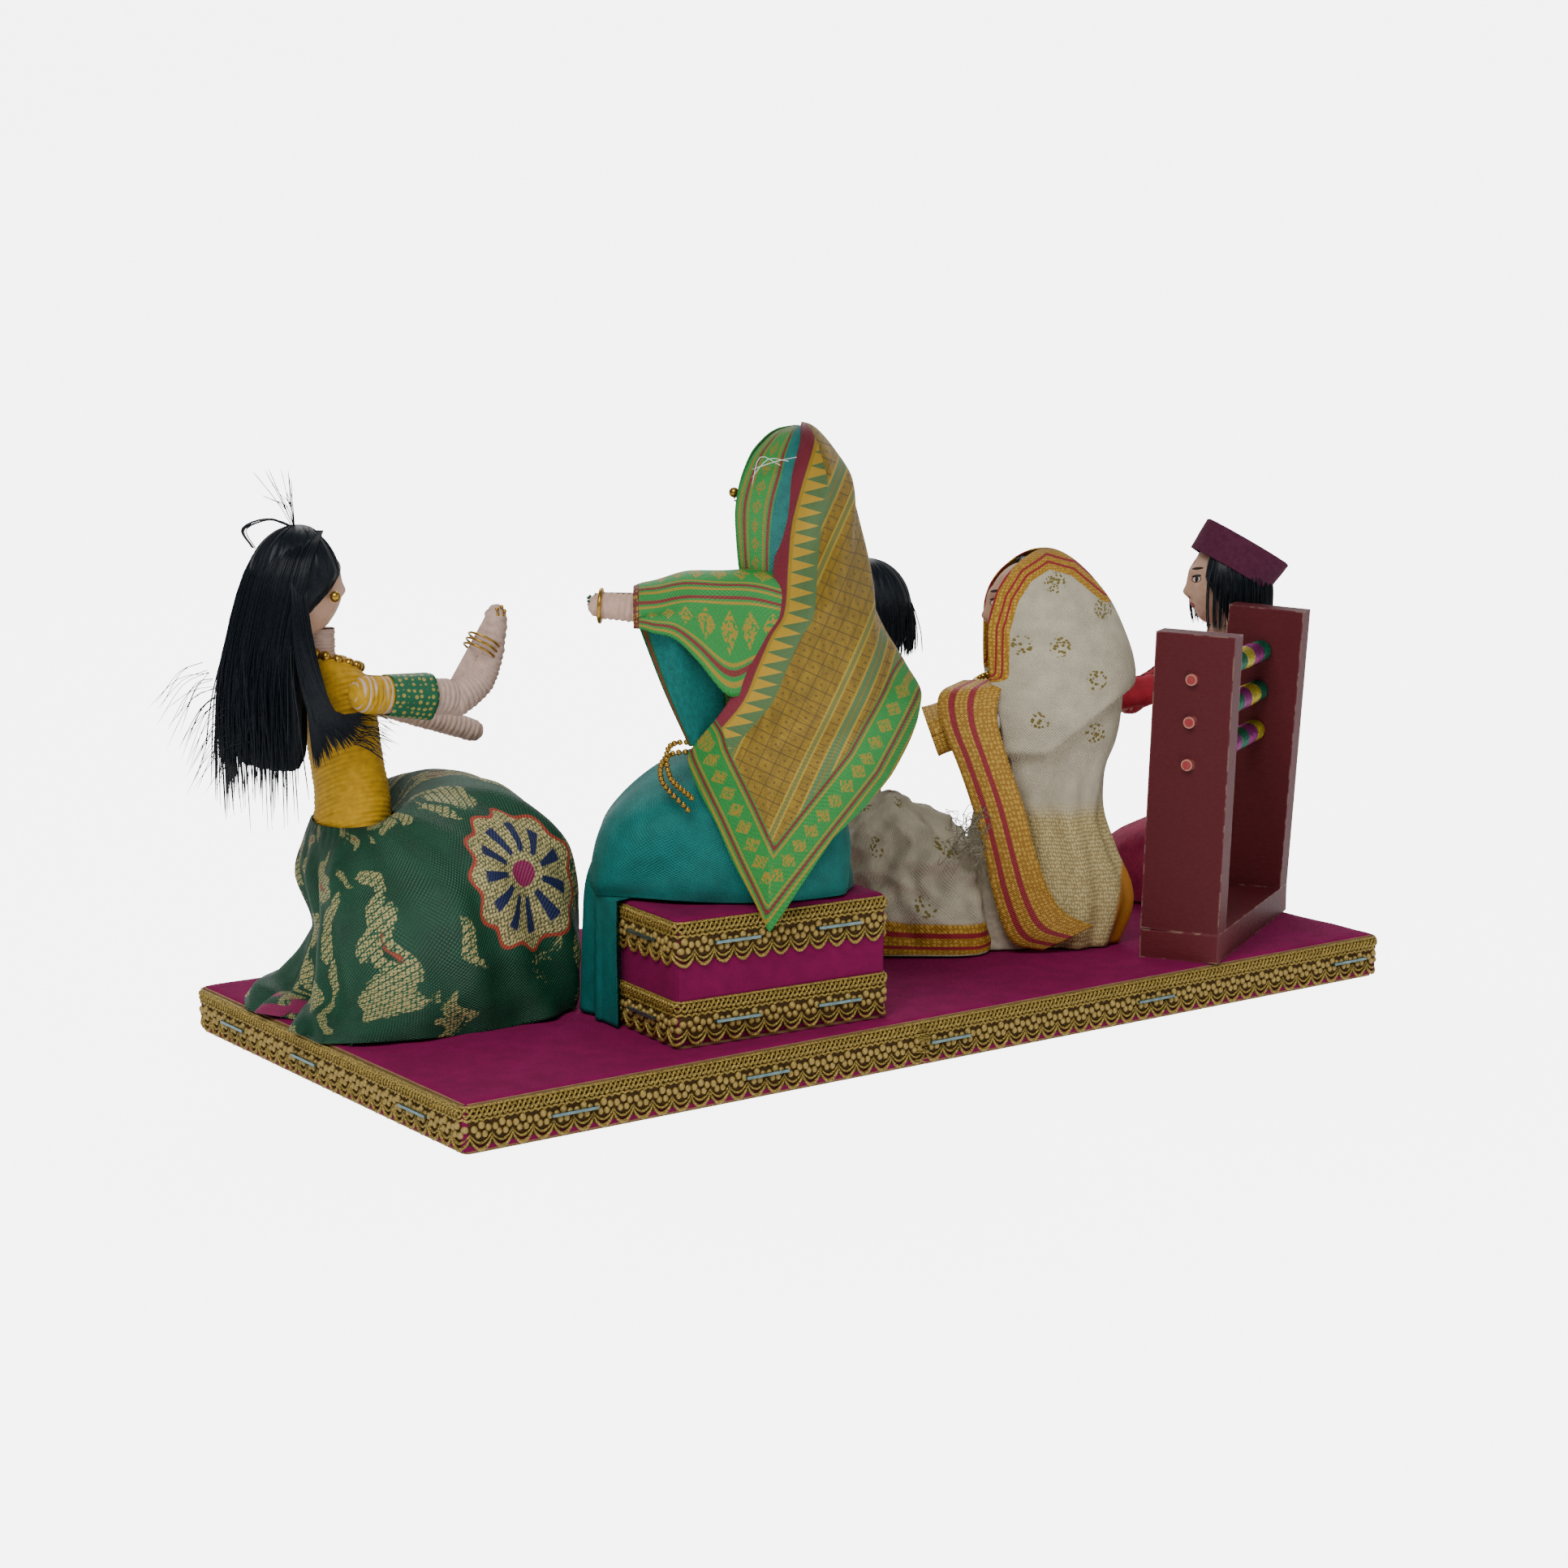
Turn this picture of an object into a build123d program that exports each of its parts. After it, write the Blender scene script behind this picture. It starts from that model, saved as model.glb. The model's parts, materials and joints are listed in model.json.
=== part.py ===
"""Doll tableau of a wedding bangle ceremony: five thread-wound wire dolls, a stool and a
bangle rack on a velvet-covered board. Millimetres, +Z up, origin at the centre of the
board's underside, X along the long edge, +Y towards the audience."""
from build123d import *
import os
from math import radians, sin

# ---- driving dimensions -------------------------------------------------------------
board_length = 301.4      # plywood board
board_width = 140.4
board_thickness = 12.0
board_corner = 1.8
velvet_thickness = 0.5
lace_thickness = 1.3
lace_height = 11.6
lace_drop = 0.6           # velvet left showing above the board lace

staple_crown = 12.8
staple_leg = 6.0
staple_wire = 0.7
base_staples_long = (-122, -66, -8, 64, 139)      # along each long side of the board
base_staples_short = (-49, 7, 48)
stool_staples_long = (-14, 16)
stool_staples_short = (0,)

stool_length = 60.0
stool_width = 30.6
stool_height = 32.5
stool_lace_height = 12.0
stool_lace_gap = 8.0
stool_lace_lift = 0.3     # velvet left showing under the lower lace
stool_corner = 1.2
stool_place = (-53.0, -46.4, -3.9)       # x, y, turn

rack_length = 76.5
rack_depth = 22.3
rack_board = 8.0
rack_upright_height = 83.3
rack_place = (114.0, -42.9, 30.6)
near_lean = 1.9           # the hand-fitted uprights lean a little sideways
far_lean = 3.2
rod_diameter = 3.2
rod_overhang = 1.5
rod_heights = (47.3, 59.1, 70.9)         # above the rack's plate
roll_diameter = 6.4
roll_bore_gap = 0.15      # radial, so that the bangle rolls spin
roll_end_gap = 0.6
roll_segments = 7
groove_radius = 0.5       # between two bangles of a roll

wire_diameter = 1.6       # armature wire in each doll's neck
wire_length = 26.0
wire_play = 0.1           # radial, between the neck wire and what turns on it
wire_bore_length = 60.0   # long enough to pass right through a head and its hair
gap = 0.4                 # between pieces that move past each other
elbow_room = 1.4          # cut back from the upper arm so that the elbow can fold
skin = 0.3                # between soft pieces that only lie close

head_radius = 11.0
head_half_height = 13.2
hair_thickness = 2.4
neck_radius = 4.0
arm_radius = 4.6
wrist_radius = 3.0
hand_radius = 3.2

# ---- places of the dolls: x, y, facing angle ------------------------------------------
base_top = board_thickness + velvet_thickness
stool_top = base_top + stool_height + velvet_thickness
girl_place = (-128.0, 25.0, 0.0)
bride_place = (-44.5, -44.0, 145.0)
aunt_place = (60.0, -18.0, 145.0)
seller_place = (145.0, 1.5, 150.0)
friend_place = (43.0, 38.0, 145.0)

# ---- joint points, each in its own doll's frame: x forwards, y to the doll's left ------
girl_neck = (-8.0, 0.0, 96.0)
girl_head = (-13.0, 0.0, 111.0)
girl_shoulder_right = (-4.0, -17.4, 84.5)
girl_elbow_right = (22.0, -16.6, 81.5)
girl_hand_right = (34.5, -15.6, 101.5)
girl_shoulder_left = (-4.0, 17.4, 84.5)
girl_hand_left = (44.0, 14.0, 67.0)
bride_head = (-5.8, 0.0, 102.5)
bride_shoulder = (-3.0, 15.5, 74.5)
bride_elbow = (26.0, 15.0, 73.5)
bride_hand = (42.5, 14.0, 74.5)
aunt_head = (-1.5, 0.0, 95.5)
aunt_shoulder = (2.0, 13.0, 71.0)
aunt_cuff = (26.0, 13.0, 62.5)
seller_head = (-9.0, 0.0, 95.0)
seller_shoulder = (-1.0, 16.3, 68.0)
seller_hand = (44.0, 15.9, 62.0)
friend_head = (-4.0, 0.0, 90.5)


def doll_frame(place, height):
    x, y, turn = place
    return Pos(x, y, height) * Rot(0, 0, turn)


def section(x, y, z, rx, ry):
    return Pos(x, y, z) * Ellipse(rx, ry)


def lofted(*sections):
    """A soft body built up from level ellipses: x, y, z, half depth, half width."""
    return loft([section(*s) for s in sections], ruled=True)


def limb(start, end, r_start, r_end):
    """A round limb that tapers from start to end, with a ball at each end."""
    run = Vector(*end) - Vector(*start)
    same = abs(r_start - r_end) < 1e-6
    shank = Cylinder(r_start, run.length) if same else Cone(r_start, r_end, run.length)
    shank = Plane(origin=start, z_dir=run) * Pos(0, 0, run.length / 2) * shank
    return Pos(*start) * Sphere(r_start) + shank + Pos(*end) * Sphere(r_end)


def tube_on(start, end, r_inner, r_outer, from_start, to_start):
    """A sleeve round the line from start to end, between two distances from start."""
    run = Vector(*end) - Vector(*start)
    length = to_start - from_start
    seat = Plane(origin=start, z_dir=run) * Pos(0, 0, from_start + length / 2)
    return seat * (Cylinder(r_outer, length) - Cylinder(r_inner, length))


def ring_on(start, end, at, radius, wire):
    """A wire ring round the line from start to end, at a distance from start."""
    run = Vector(*end) - Vector(*start)
    return Plane(origin=start, z_dir=run) * Pos(0, 0, at) * Torus(radius, wire / 2)


def egg(centre, radius, half_height):
    """An upright head shape: two balls joined by a short barrel."""
    lift = half_height - radius
    balls = Pos(0, 0, -lift) * Sphere(radius) + Pos(0, 0, lift) * Sphere(radius)
    return Pos(*centre) * (Cylinder(radius, 2 * lift) + balls)


def slab(outline, y_low, y_high):
    """An outline in the doll's fore-and-aft plane, given a thickness across it."""
    face = make_face(Polyline(*outline, close=True))
    return Pos(0, y_high, 0) * extrude(Plane.XZ * face, y_high - y_low)


def block(length, width, z_low, z_high, corner):
    plate = extrude(RectangleRounded(length, width, corner), z_high - z_low)
    return Pos(0, 0, z_low) * plate


# ---- trimmed boards: a core, its velvet skin, lace bands and staples --------------------
def lace_band(length, width, corner, z_low, z_high):
    t = lace_thickness
    outer = block(length + 2 * t, width + 2 * t, z_low, z_high, corner + t)
    return outer - block(length, width, z_low, z_high, corner)


def staple(x, y, z, turn, wire=staple_wire):
    """Crown on the lace face, legs through it; turn is the face's outward direction."""
    crown = Pos(wire / 2, 0, 0) * Box(wire, staple_crown, wire)
    legs = [Pos(-staple_leg / 2, side * (staple_crown - wire) / 2, 0) * Box(staple_leg, wire, wire)
            for side in (-1, 1)]
    return Pos(x, y, z) * Rot(0, 0, turn) * (crown + legs[0] + legs[1])


def staples_round(length, width, z, long_side, short_side):
    """Staples on the long sides at x = long_side and on the short sides at y = short_side."""
    half_x = length / 2 + lace_thickness
    half_y = width / 2 + lace_thickness
    found = [staple(x * -side, side * half_y, z, 90 * side) for side in (-1, 1) for x in long_side]
    found += [staple(side * half_x, y, z, 90 - 90 * side) for side in (-1, 1) for y in short_side]
    return found


def make_base():
    skin_l = board_length + 2 * velvet_thickness
    skin_w = board_width + 2 * velvet_thickness
    core = block(board_length, board_width, 0, board_thickness, board_corner)
    skin_corner = board_corner + velvet_thickness
    velvet = block(skin_l, skin_w, 0, base_top, skin_corner) - core
    lace_top = base_top - lace_drop
    lace = lace_band(skin_l, skin_w, skin_corner, lace_top - lace_height, lace_top)
    z = lace_top - lace_height / 2
    staples = staples_round(skin_l, skin_w, z, base_staples_long, base_staples_short)
    return core, velvet, lace, staples


def make_stool():
    skin_l = stool_length + 2 * velvet_thickness
    skin_w = stool_width + 2 * velvet_thickness
    corner = stool_corner
    core = block(stool_length, stool_width, 0, stool_height, corner)
    velvet = block(skin_l, skin_w, 0, stool_height + velvet_thickness, corner + velvet_thickness) - core
    low_top = stool_lace_height + stool_lace_lift
    high_bottom = low_top + stool_lace_gap
    low = lace_band(skin_l, skin_w, corner + velvet_thickness, low_top - stool_lace_height, low_top)
    high = lace_band(skin_l, skin_w, corner + velvet_thickness, high_bottom,
                     high_bottom + stool_lace_height)
    staples = []
    for z in (low_top - stool_lace_height / 2, high_bottom + stool_lace_height / 2):
        staples += staples_round(skin_l, skin_w, z, stool_staples_long, stool_staples_short)
    return core, velvet, low, high, staples


def group(shapes):
    return Compound(children=list(shapes)) if len(shapes) > 1 else shapes[0]


# ---- bangle rack -------------------------------------------------------------------------
def rod_line(height):
    """The two hole centres of a rod, in the rack's frame, at the uprights' outer faces."""
    near_y = -height * sin(radians(near_lean))
    far_y = -height * sin(radians(far_lean))
    half = rack_length / 2
    inner = half - rack_board / 2
    z = rack_board + height
    slope = (far_y - near_y) / (2 * inner)
    return (-half, near_y - slope * rack_board / 2, z), (half, far_y + slope * rack_board / 2, z)


def rod_frame(height):
    near, far = rod_line(height)
    return Plane(origin=near, z_dir=Vector(*far) - Vector(*near))


def make_rack():
    half = rack_length / 2
    plate = Pos(0, 0, rack_board / 2) * Box(rack_length, rack_depth, rack_board)
    boards = []
    for side, lean in ((-1, near_lean), (1, far_lean)):
        board = Pos(0, 0, rack_upright_height / 2) * Box(rack_board, rack_depth, rack_upright_height)
        foot = Pos(side * (half - rack_board / 2), 0, rack_board)
        leaning = foot * Rot(lean, 0, 0) * board
        below = Pos(0, 0, rack_board / 2) * Box(2 * rack_length, 2 * rack_depth, rack_board)
        boards.append(leaning - below)
    rods, rolls = [], []
    for height in rod_heights:
        near, far = rod_line(height)
        span = (Vector(*far) - Vector(*near)).length
        length = span + 2 * rod_overhang
        rod = rod_frame(height) * Pos(0, 0, span / 2) * Cylinder(rod_diameter / 2, length)
        boards = [board - rod for board in boards]
        rods.append(rod)
        bay = span - 2 * rack_board * span / rack_length - 2 * roll_end_gap
        rolls.append(rod_frame(height) * Pos(0, 0, span / 2) * make_roll(bay))
    return plate, boards, rods, rolls


def make_roll(bay):
    """A roll of foil bangles: a bored bar, with a groove where two bangles meet."""
    bore = rod_diameter / 2 + roll_bore_gap
    roll = Cylinder(roll_diameter / 2, bay) - Cylinder(bore, bay)
    pitch = bay / roll_segments
    for i in range(1, roll_segments):
        groove = Torus(roll_diameter / 2 + groove_radius / 2, groove_radius)
        roll -= Pos(0, 0, -bay / 2 + i * pitch) * groove
    return roll


# ---- what all dolls share ------------------------------------------------------------------
def neck_wire(x, z):
    """The armature wire that a head turns on, centred at height z."""
    return Pos(x, 0, z) * Cylinder(wire_diameter / 2, wire_length)


def make_torso(sections, neck_at, neck_top):
    x, y, z = neck_at
    trunk = lofted(*sections)
    neck = Pos(x, y, (z + neck_top) / 2) * Cylinder(neck_radius, neck_top - z)
    return trunk + neck


def make_head(head, neck_at, neck_top):
    """The head, with a socket that clears the neck it turns on."""
    x, y, z = neck_at
    socket = Pos(x, y, (z + neck_top) / 2) * Cylinder(neck_radius + gap, neck_top - z + 2 * gap)
    return egg(head, head_radius, head_half_height) - socket - wire_bore((x, y, z))


def wire_bore(neck_at):
    x, y, z = neck_at
    return Pos(x, y, z) * Cylinder(wire_diameter / 2 + wire_play, wire_bore_length)


def hair_cap(head, front):
    """Hair over the back of a head, open at the face from x = front forwards."""
    x, y, z = head
    shell = egg(head, head_radius + hair_thickness, head_half_height + hair_thickness)
    shell -= egg(head, head_radius, head_half_height)
    face = Pos(x + front + 20, y, z - 6) * Box(40, 4 * head_radius, 2 * head_half_height + 4)
    return shell - face


def socket_ball(point):
    return Pos(*point) * Sphere(arm_radius + gap)


# ---- the girl ------------------------------------------------------------------------------
girl_neck_base = (girl_neck[0], 0.0, 92.0)


def make_girl():
    neck_top = 100.0
    torso = make_torso([(0, 0, 48, 10, 12), (0, 0, 56, 9.5, 11.5), (-2, 0, 70, 9, 12),
                        (-4, 0, 86, 8, 12.4), (-7, 0, 92.5, 5.5, 7)], girl_neck_base, neck_top)
    torso -= socket_ball(girl_shoulder_right) + socket_ball(girl_shoulder_left)
    wire = neck_wire(girl_neck[0], 98)
    head = make_head(girl_head, girl_neck_base, neck_top)
    cap = hair_cap(girl_head, 3.0)
    fall = lofted((-15, 1, 116, 12, 12.5), (-20, 2, 98, 9, 14), (-23, 3, 80, 11, 16),
                  (-24, 4, 62, 11, 15))
    turning_room = lofted((-4, 0, 40, 12.5, 16), (-6, 0, 90, 12, 17), (-8, 0, 97, 8, 9))
    hair = cap + (fall - egg(girl_head, head_radius, head_half_height) - turning_room)
    hair -= Pos(girl_neck[0], 0, 92) * Cylinder(neck_radius + 2, 16)
    earrings = [Pos(girl_head[0] + 3.5, side * (head_radius + 1.0), girl_head[2] - 2) * Sphere(1.4)
                for side in (-1, 1)]
    hair = hair - earrings[0] - earrings[1]
    necklace = Pos(-6, 0, 91.5) * Rot(0, 14, 0) * Torus(7.6, 1.3)

    upper = limb(girl_shoulder_right, girl_elbow_right, arm_radius, arm_radius)
    upper -= Pos(*girl_elbow_right) * Sphere(arm_radius + elbow_room)
    fore = limb(girl_elbow_right, girl_hand_right, arm_radius - 0.4, wrist_radius)
    sleeve = tube_on(girl_shoulder_right, girl_elbow_right, arm_radius, 6.2, 6.8, 16)
    bangles = [ring_on(girl_elbow_right, girl_hand_right, at, wrist_radius + 1.3, 0.6)
               for at in (13.5, 15, 16.5)]
    left = limb(girl_shoulder_left, girl_hand_left, arm_radius, wrist_radius)
    sleeve_left = tube_on(girl_shoulder_left, girl_hand_left, arm_radius, 6.2, 6.8, 16)
    skirt = lofted((17, -2, 0.1, 39, 45), (18, -2, 16, 38, 40), (20, -3, 36, 33, 32),
                   (16, -2, 52, 26, 24), (13, 0, 59, 20, 16), (11, 0, 61.5, 12, 10))
    torso -= wire
    skirt -= torso
    return {
        "girl_torso": torso, "girl_head": head, "girl_hair": hair - wire_bore(girl_neck_base),
        "girl_earrings": group(earrings), "girl_necklace": necklace - torso,
        "girl_upper_arm_right": upper, "girl_forearm_right": fore,
        "girl_sleeve_right": sleeve - upper, "girl_bangles": group(bangles),
        "girl_arm_left": left, "girl_sleeve_left": sleeve_left - left, "girl_skirt": skirt,
    }, wire


# ---- the bride -------------------------------------------------------------------------------
def make_bride():
    neck_base = (bride_head[0] + 2, 0.0, 80.0)
    neck_top = 91.0
    torso = make_torso([(0, 0, 26, 10, 12), (0, 0, 36, 9.5, 11.5), (-2, 0, 56, 9, 12),
                        (-3, 0, 74, 8, 13), (-4, 0, 80.5, 5.5, 7)], neck_base, neck_top)
    wire = neck_wire(neck_base[0], 88)
    head = make_head(bride_head, neck_base, neck_top)
    upper = limb(bride_shoulder, bride_elbow, arm_radius, arm_radius)
    upper -= Pos(*bride_elbow) * Sphere(arm_radius + gap)
    fore = limb(bride_elbow, bride_hand, arm_radius - 0.4, hand_radius)
    beads = ring_on(bride_elbow, bride_hand, 16.5, hand_radius + 0.8, 1.0)
    right_shoulder = (bride_shoulder[0], -bride_shoulder[1], bride_shoulder[2])
    elbow, hand = (16, -16, 55), (21, -8, 43)
    right = limb(right_shoulder, elbow, arm_radius, arm_radius) + limb(elbow, hand, arm_radius, wrist_radius)
    torso = torso - wire - right - upper

    seat = lofted((7, 0, 0.1, 27, 19), (8, 0, 16, 27, 18), (5, 0, 28, 18, 14), (0, 0, 37, 10.5, 12.5))
    knees = lofted((33, -5, -32.9, 13, 16), (35, -4, 4, 11, 15), (31, -1, 16, 8, 12))
    skirt = (seat + knees) - torso - right
    hood = lofted((-12, 0, 50, 24, 20), (-10, 0, 67, 18, 19), (-7.5, 0, 83, 16.5, 17),
                  (-6, 0, 95, 15.5, 15), (-6, 0, 108, 12.5, 12), (-6, 0, 117, 5, 4.5))
    panel = slab([(22, 36), (2, -4.5), (-16, 17), (-28, 32), (-37, 50), (-30, 62), (14, 60)], 17.0, 19.5)
    shoulder = slab([(34, 80), (30, 66), (20, 44), (8, 44), (4, 82)], 5.0, 21.0)
    face = Pos(14, 0, 99) * Box(18, 17, 27)
    drape = hood + panel + shoulder - face
    moving_room = Plane(origin=bride_elbow, z_dir=Vector(1, 0, 0)) \
        * Pos(0, 0, 8) * Cylinder(arm_radius + 2.6, 26)
    egg_room = egg(bride_head, head_radius, head_half_height)
    drape = drape - torso - egg_room - upper - moving_room - right - seat - neck_room(neck_base, neck_top)
    necklace = Pos(-3.5, 0, 80.5) * Rot(0, 14, 0) * Torus(8.5, 1.4)
    bead = Pos(bride_head[0] + head_radius + 2.6, 3.5, bride_head[2] - 1.5) * Sphere(1.3)
    chain = Pos(0, 0, 36.5) * Torus(11.9, 1.1)
    chain = chain - torso - seat - knees
    return {
        "bride_torso": torso, "bride_head": head, "bride_upper_arm_left": upper,
        "bride_forearm_left": fore, "bride_finger_beads": beads - fore,
        "bride_arm_right": right, "bride_sari_skirt": skirt,
        "bride_sari_drape": drape - necklace - chain - wire,
        "bride_necklace": necklace - torso - head, "bride_nose_bead": bead - head,
        "bride_waist_chain": chain,
    }, wire


def neck_room(neck_at, neck_top):
    x, y, z = neck_at
    return Pos(x, y, (z + neck_top) / 2) * Cylinder(neck_radius + skin, neck_top - z)


# ---- the aunt -----------------------------------------------------------------------------------
def make_aunt():
    neck_base = (aunt_head[0] + 1, 0.0, 77.0)
    neck_top = 84.0
    torso = make_torso([(5, 0, 0.1, 15, 14), (5, 0, 18, 13, 13), (5, 0, 34, 9, 10),
                        (2, 0, 54, 8.5, 11), (1, 0, 70, 8, 12.5), (0, 0, 77.5, 5, 7)],
                       neck_base, neck_top)
    wire = neck_wire(neck_base[0], 82)
    head = make_head(aunt_head, neck_base, neck_top)
    sleeve_run = (aunt_shoulder, aunt_cuff)
    sleeve = tube_on(*sleeve_run, 6.0, 7.6, 1.0, 25.0)
    stuffing = tube_on(*sleeve_run, 0.9, 6.0, 1.0, 20.0)
    torso = torso - wire - tube_on(*sleeve_run, 0.0001, 7.6, 0.5, 25.0)
    lap = lofted((30, 2, 0.1, 20, 16), (31, 2, 15, 20, 16), (31, 2, 32, 18, 14), (37, 2, 46, 9, 8))
    lap -= torso
    veil = lofted((-16, 4, 0.1, 12, 8), (-17, 4, 14, 15, 9.5), (-13, 3, 36, 9.5, 10),
                  (-12, 3, 46, 12, 12), (-11, 2, 58, 17, 15.5), (-12, 1, 70, 18.5, 17),
                  (-11, 0, 85, 19, 16), (-9, 0, 96, 17.5, 15), (-7.5, 0, 106, 13, 12),
                  (-6.5, 0, 112, 5, 4.5))
    face = Pos(13, 0, 95) * Box(18, 16, 26)
    egg_room = egg(aunt_head, head_radius, head_half_height)
    border = slab([(21, 76), (29, 66), (24, 60), (15, 50), (9, 30), (6, 8), (-3, 0.4), (-14, 0.4),
                   (-8, 12), (-2, 34), (4, 56), (6, 74)], 17.4, 20.0)
    strap = slab([(20, 74), (28, 70), (14, 66), (4, 72), (6, 76)], 8.0, 17.4)
    border = (border + strap) - sleeve - stuffing - torso
    veil = veil - torso - egg_room - face - sleeve - stuffing - border - lap
    veil -= neck_room(neck_base, neck_top)
    necklace = Pos(2.5, 0, 77.5) * Rot(0, 14, 0) * Torus(9.0, 1.6)
    return {
        "aunt_torso": torso, "aunt_head": head, "aunt_veil": veil - necklace - wire,
        "aunt_sari_border": border - necklace, "aunt_sleeve": sleeve,
        "aunt_sleeve_stuffing": stuffing, "aunt_sari_lap": lap,
        "aunt_necklace": necklace - torso - head - sleeve - stuffing,
    }, wire


# ---- the seller -----------------------------------------------------------------------------------
def make_seller():
    neck_base = (seller_head[0] + 1.0, 0.0, 76.0)
    neck_top = 84.0
    torso = make_torso([(0, 0, 20, 11, 12.5), (-1, 0, 40, 9.5, 11.5), (-3, 0, 66, 9, 12.5),
                        (-6, 0, 76.5, 5.5, 7)], neck_base, neck_top)
    wire = neck_wire(neck_base[0], 82)
    head = make_head(seller_head, neck_base, neck_top)
    hair = hair_cap(seller_head, 3.5)
    hair -= Pos(neck_base[0], 0, 76) * Cylinder(30, 9)
    hair -= Pos(neck_base[0], 0, 80) * Cylinder(neck_radius + 1.5, 12)
    x, y, z = seller_head
    seat = Pos(x - 1.5, y, z + 4.6) * Rot(0, -30, 0)
    crown = seat * loft([Ellipse(13.0, 12.4), Pos(-0.8, 0, 9.6) * Ellipse(14.0, 9.0)], ruled=True)
    head_room = egg(seller_head, head_radius, head_half_height) \
        + egg(seller_head, head_radius + hair_thickness, head_half_height + hair_thickness)
    cap = crown - head_room
    arm = limb(seller_shoulder, seller_hand, 5.0, 5.0)
    torso = torso - wire - Pos(*seller_shoulder) * Sphere(5.0 + gap)
    right_shoulder = (seller_shoulder[0], -seller_shoulder[1], seller_shoulder[2])
    right = limb(right_shoulder, (16, -15, 58), 5.2, 4.6) + limb((16, -15, 58), (34, -6, 60), 4.6, 3)
    torso -= right
    lap = lofted((9, -2, 0.1, 24, 18.5), (9, -2, 10, 23, 18), (6, -1, 21, 16, 15), (0, 0, 24, 12, 13))
    lap -= torso
    return {
        "seller_kurta": torso, "seller_head": head, "seller_hair": hair - crown,
        "seller_cap": cap - hair, "seller_arm_left": arm, "seller_arm_right": right,
        "seller_lap": lap,
    }, wire


# ---- the friend -------------------------------------------------------------------------------------
def make_friend():
    neck_base = (friend_head[0] + 1.0, 0.0, 71.0)
    neck_top = 79.5
    torso = make_torso([(0, 0, 30, 9, 10), (0, 0, 40, 8, 9), (-1, 0, 62, 7.5, 11.5),
                        (-3, 0, 71.5, 5, 6.5)], neck_base, neck_top)
    wire = neck_wire(neck_base[0], 77)
    head = make_head(friend_head, neck_base, neck_top)
    hair = hair_cap(friend_head, 3.0)
    hair -= Pos(neck_base[0], 0, 71) * Cylinder(30, 9)
    hair -= Pos(neck_base[0], 0, 76) * Cylinder(neck_radius + 1.5, 12)
    arms = [limb((-1, side * 14, 61), (25, side * 9, 46), 4.2, 2.8) for side in (-1, 1)]
    torso = torso - wire - arms[0] - arms[1]
    skirt = lofted((4, 0, 0.1, 19, 17), (4, 0, 20, 17, 15), (0, 0, 38, 9.5, 10.5)) - torso
    return {
        "friend_torso": torso, "friend_head": head, "friend_hair": hair,
        "friend_arms": group(arms), "friend_skirt": skirt,
    }, wire


def assemble():
    nodes = {}
    core, velvet, lace, staples = make_base()
    stool_core, stool_velvet, low, high, stool_staples = make_stool()
    sx, sy, turn = stool_place
    stool_frame = Pos(sx, sy, base_top) * Rot(0, 0, turn)
    for pin in staples:
        core, velvet, lace = core - pin, velvet - pin, lace - pin
    for pin in stool_staples:
        stool_core, stool_velvet = stool_core - pin, stool_velvet - pin
        low, high = low - pin, high - pin
    nodes["base_board"], nodes["base_velvet"], nodes["base_lace"] = core, velvet, lace
    nodes["stool_block"] = stool_frame * stool_core
    nodes["stool_velvet"] = stool_frame * stool_velvet
    nodes["stool_lace_lower"] = stool_frame * low
    nodes["stool_lace_upper"] = stool_frame * high
    nodes["staples"] = group(staples + [stool_frame * pin for pin in stool_staples])
    trim = 2 * (velvet_thickness + lace_thickness + staple_wire)
    stool_outline = stool_frame * block(stool_length + trim, stool_width + trim,
                                        0, stool_height + velvet_thickness, stool_corner)

    x, y, turn = rack_place
    rack_frame = Pos(x, y, base_top) * Rot(0, 0, turn)
    plate, boards, rods, rolls = make_rack()
    nodes["rack_plate"] = rack_frame * plate
    nodes["rack_upright_near"] = rack_frame * boards[0]
    nodes["rack_upright_far"] = rack_frame * boards[1]
    nodes["rack_rods"] = group([rack_frame * rod for rod in rods])
    for name, roll in zip(("bottom", "middle", "top"), rolls):
        nodes["bangles_" + name] = rack_frame * roll

    wires = []
    for make, place, height in ((make_girl, girl_place, base_top), (make_bride, bride_place, stool_top),
                                (make_aunt, aunt_place, base_top), (make_seller, seller_place, base_top),
                                (make_friend, friend_place, base_top)):
        pieces, wire = make()
        frame = doll_frame(place, height)
        wires.append(frame * wire)
        for name, piece in pieces.items():
            nodes[name] = frame * piece
    nodes["neck_wires"] = group(wires)
    for name in ("bride_sari_skirt", "bride_sari_drape"):
        nodes[name] = nodes[name] - stool_outline
    return nodes


def main():
    os.makedirs("parts", exist_ok=True)
    for name, piece in assemble().items():
        solids = piece.solids()
        shape = solids[0] if len(solids) == 1 else Compound(children=solids)
        export_step(shape, "parts/" + name + ".step")


if __name__ == "__main__":
    main()
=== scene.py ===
"""Doll tableau of a wedding bangle ceremony: the looks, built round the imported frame."""
import json
import math
import random

import bmesh
import bpy
from mathutils import Matrix, Vector, noise


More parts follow.
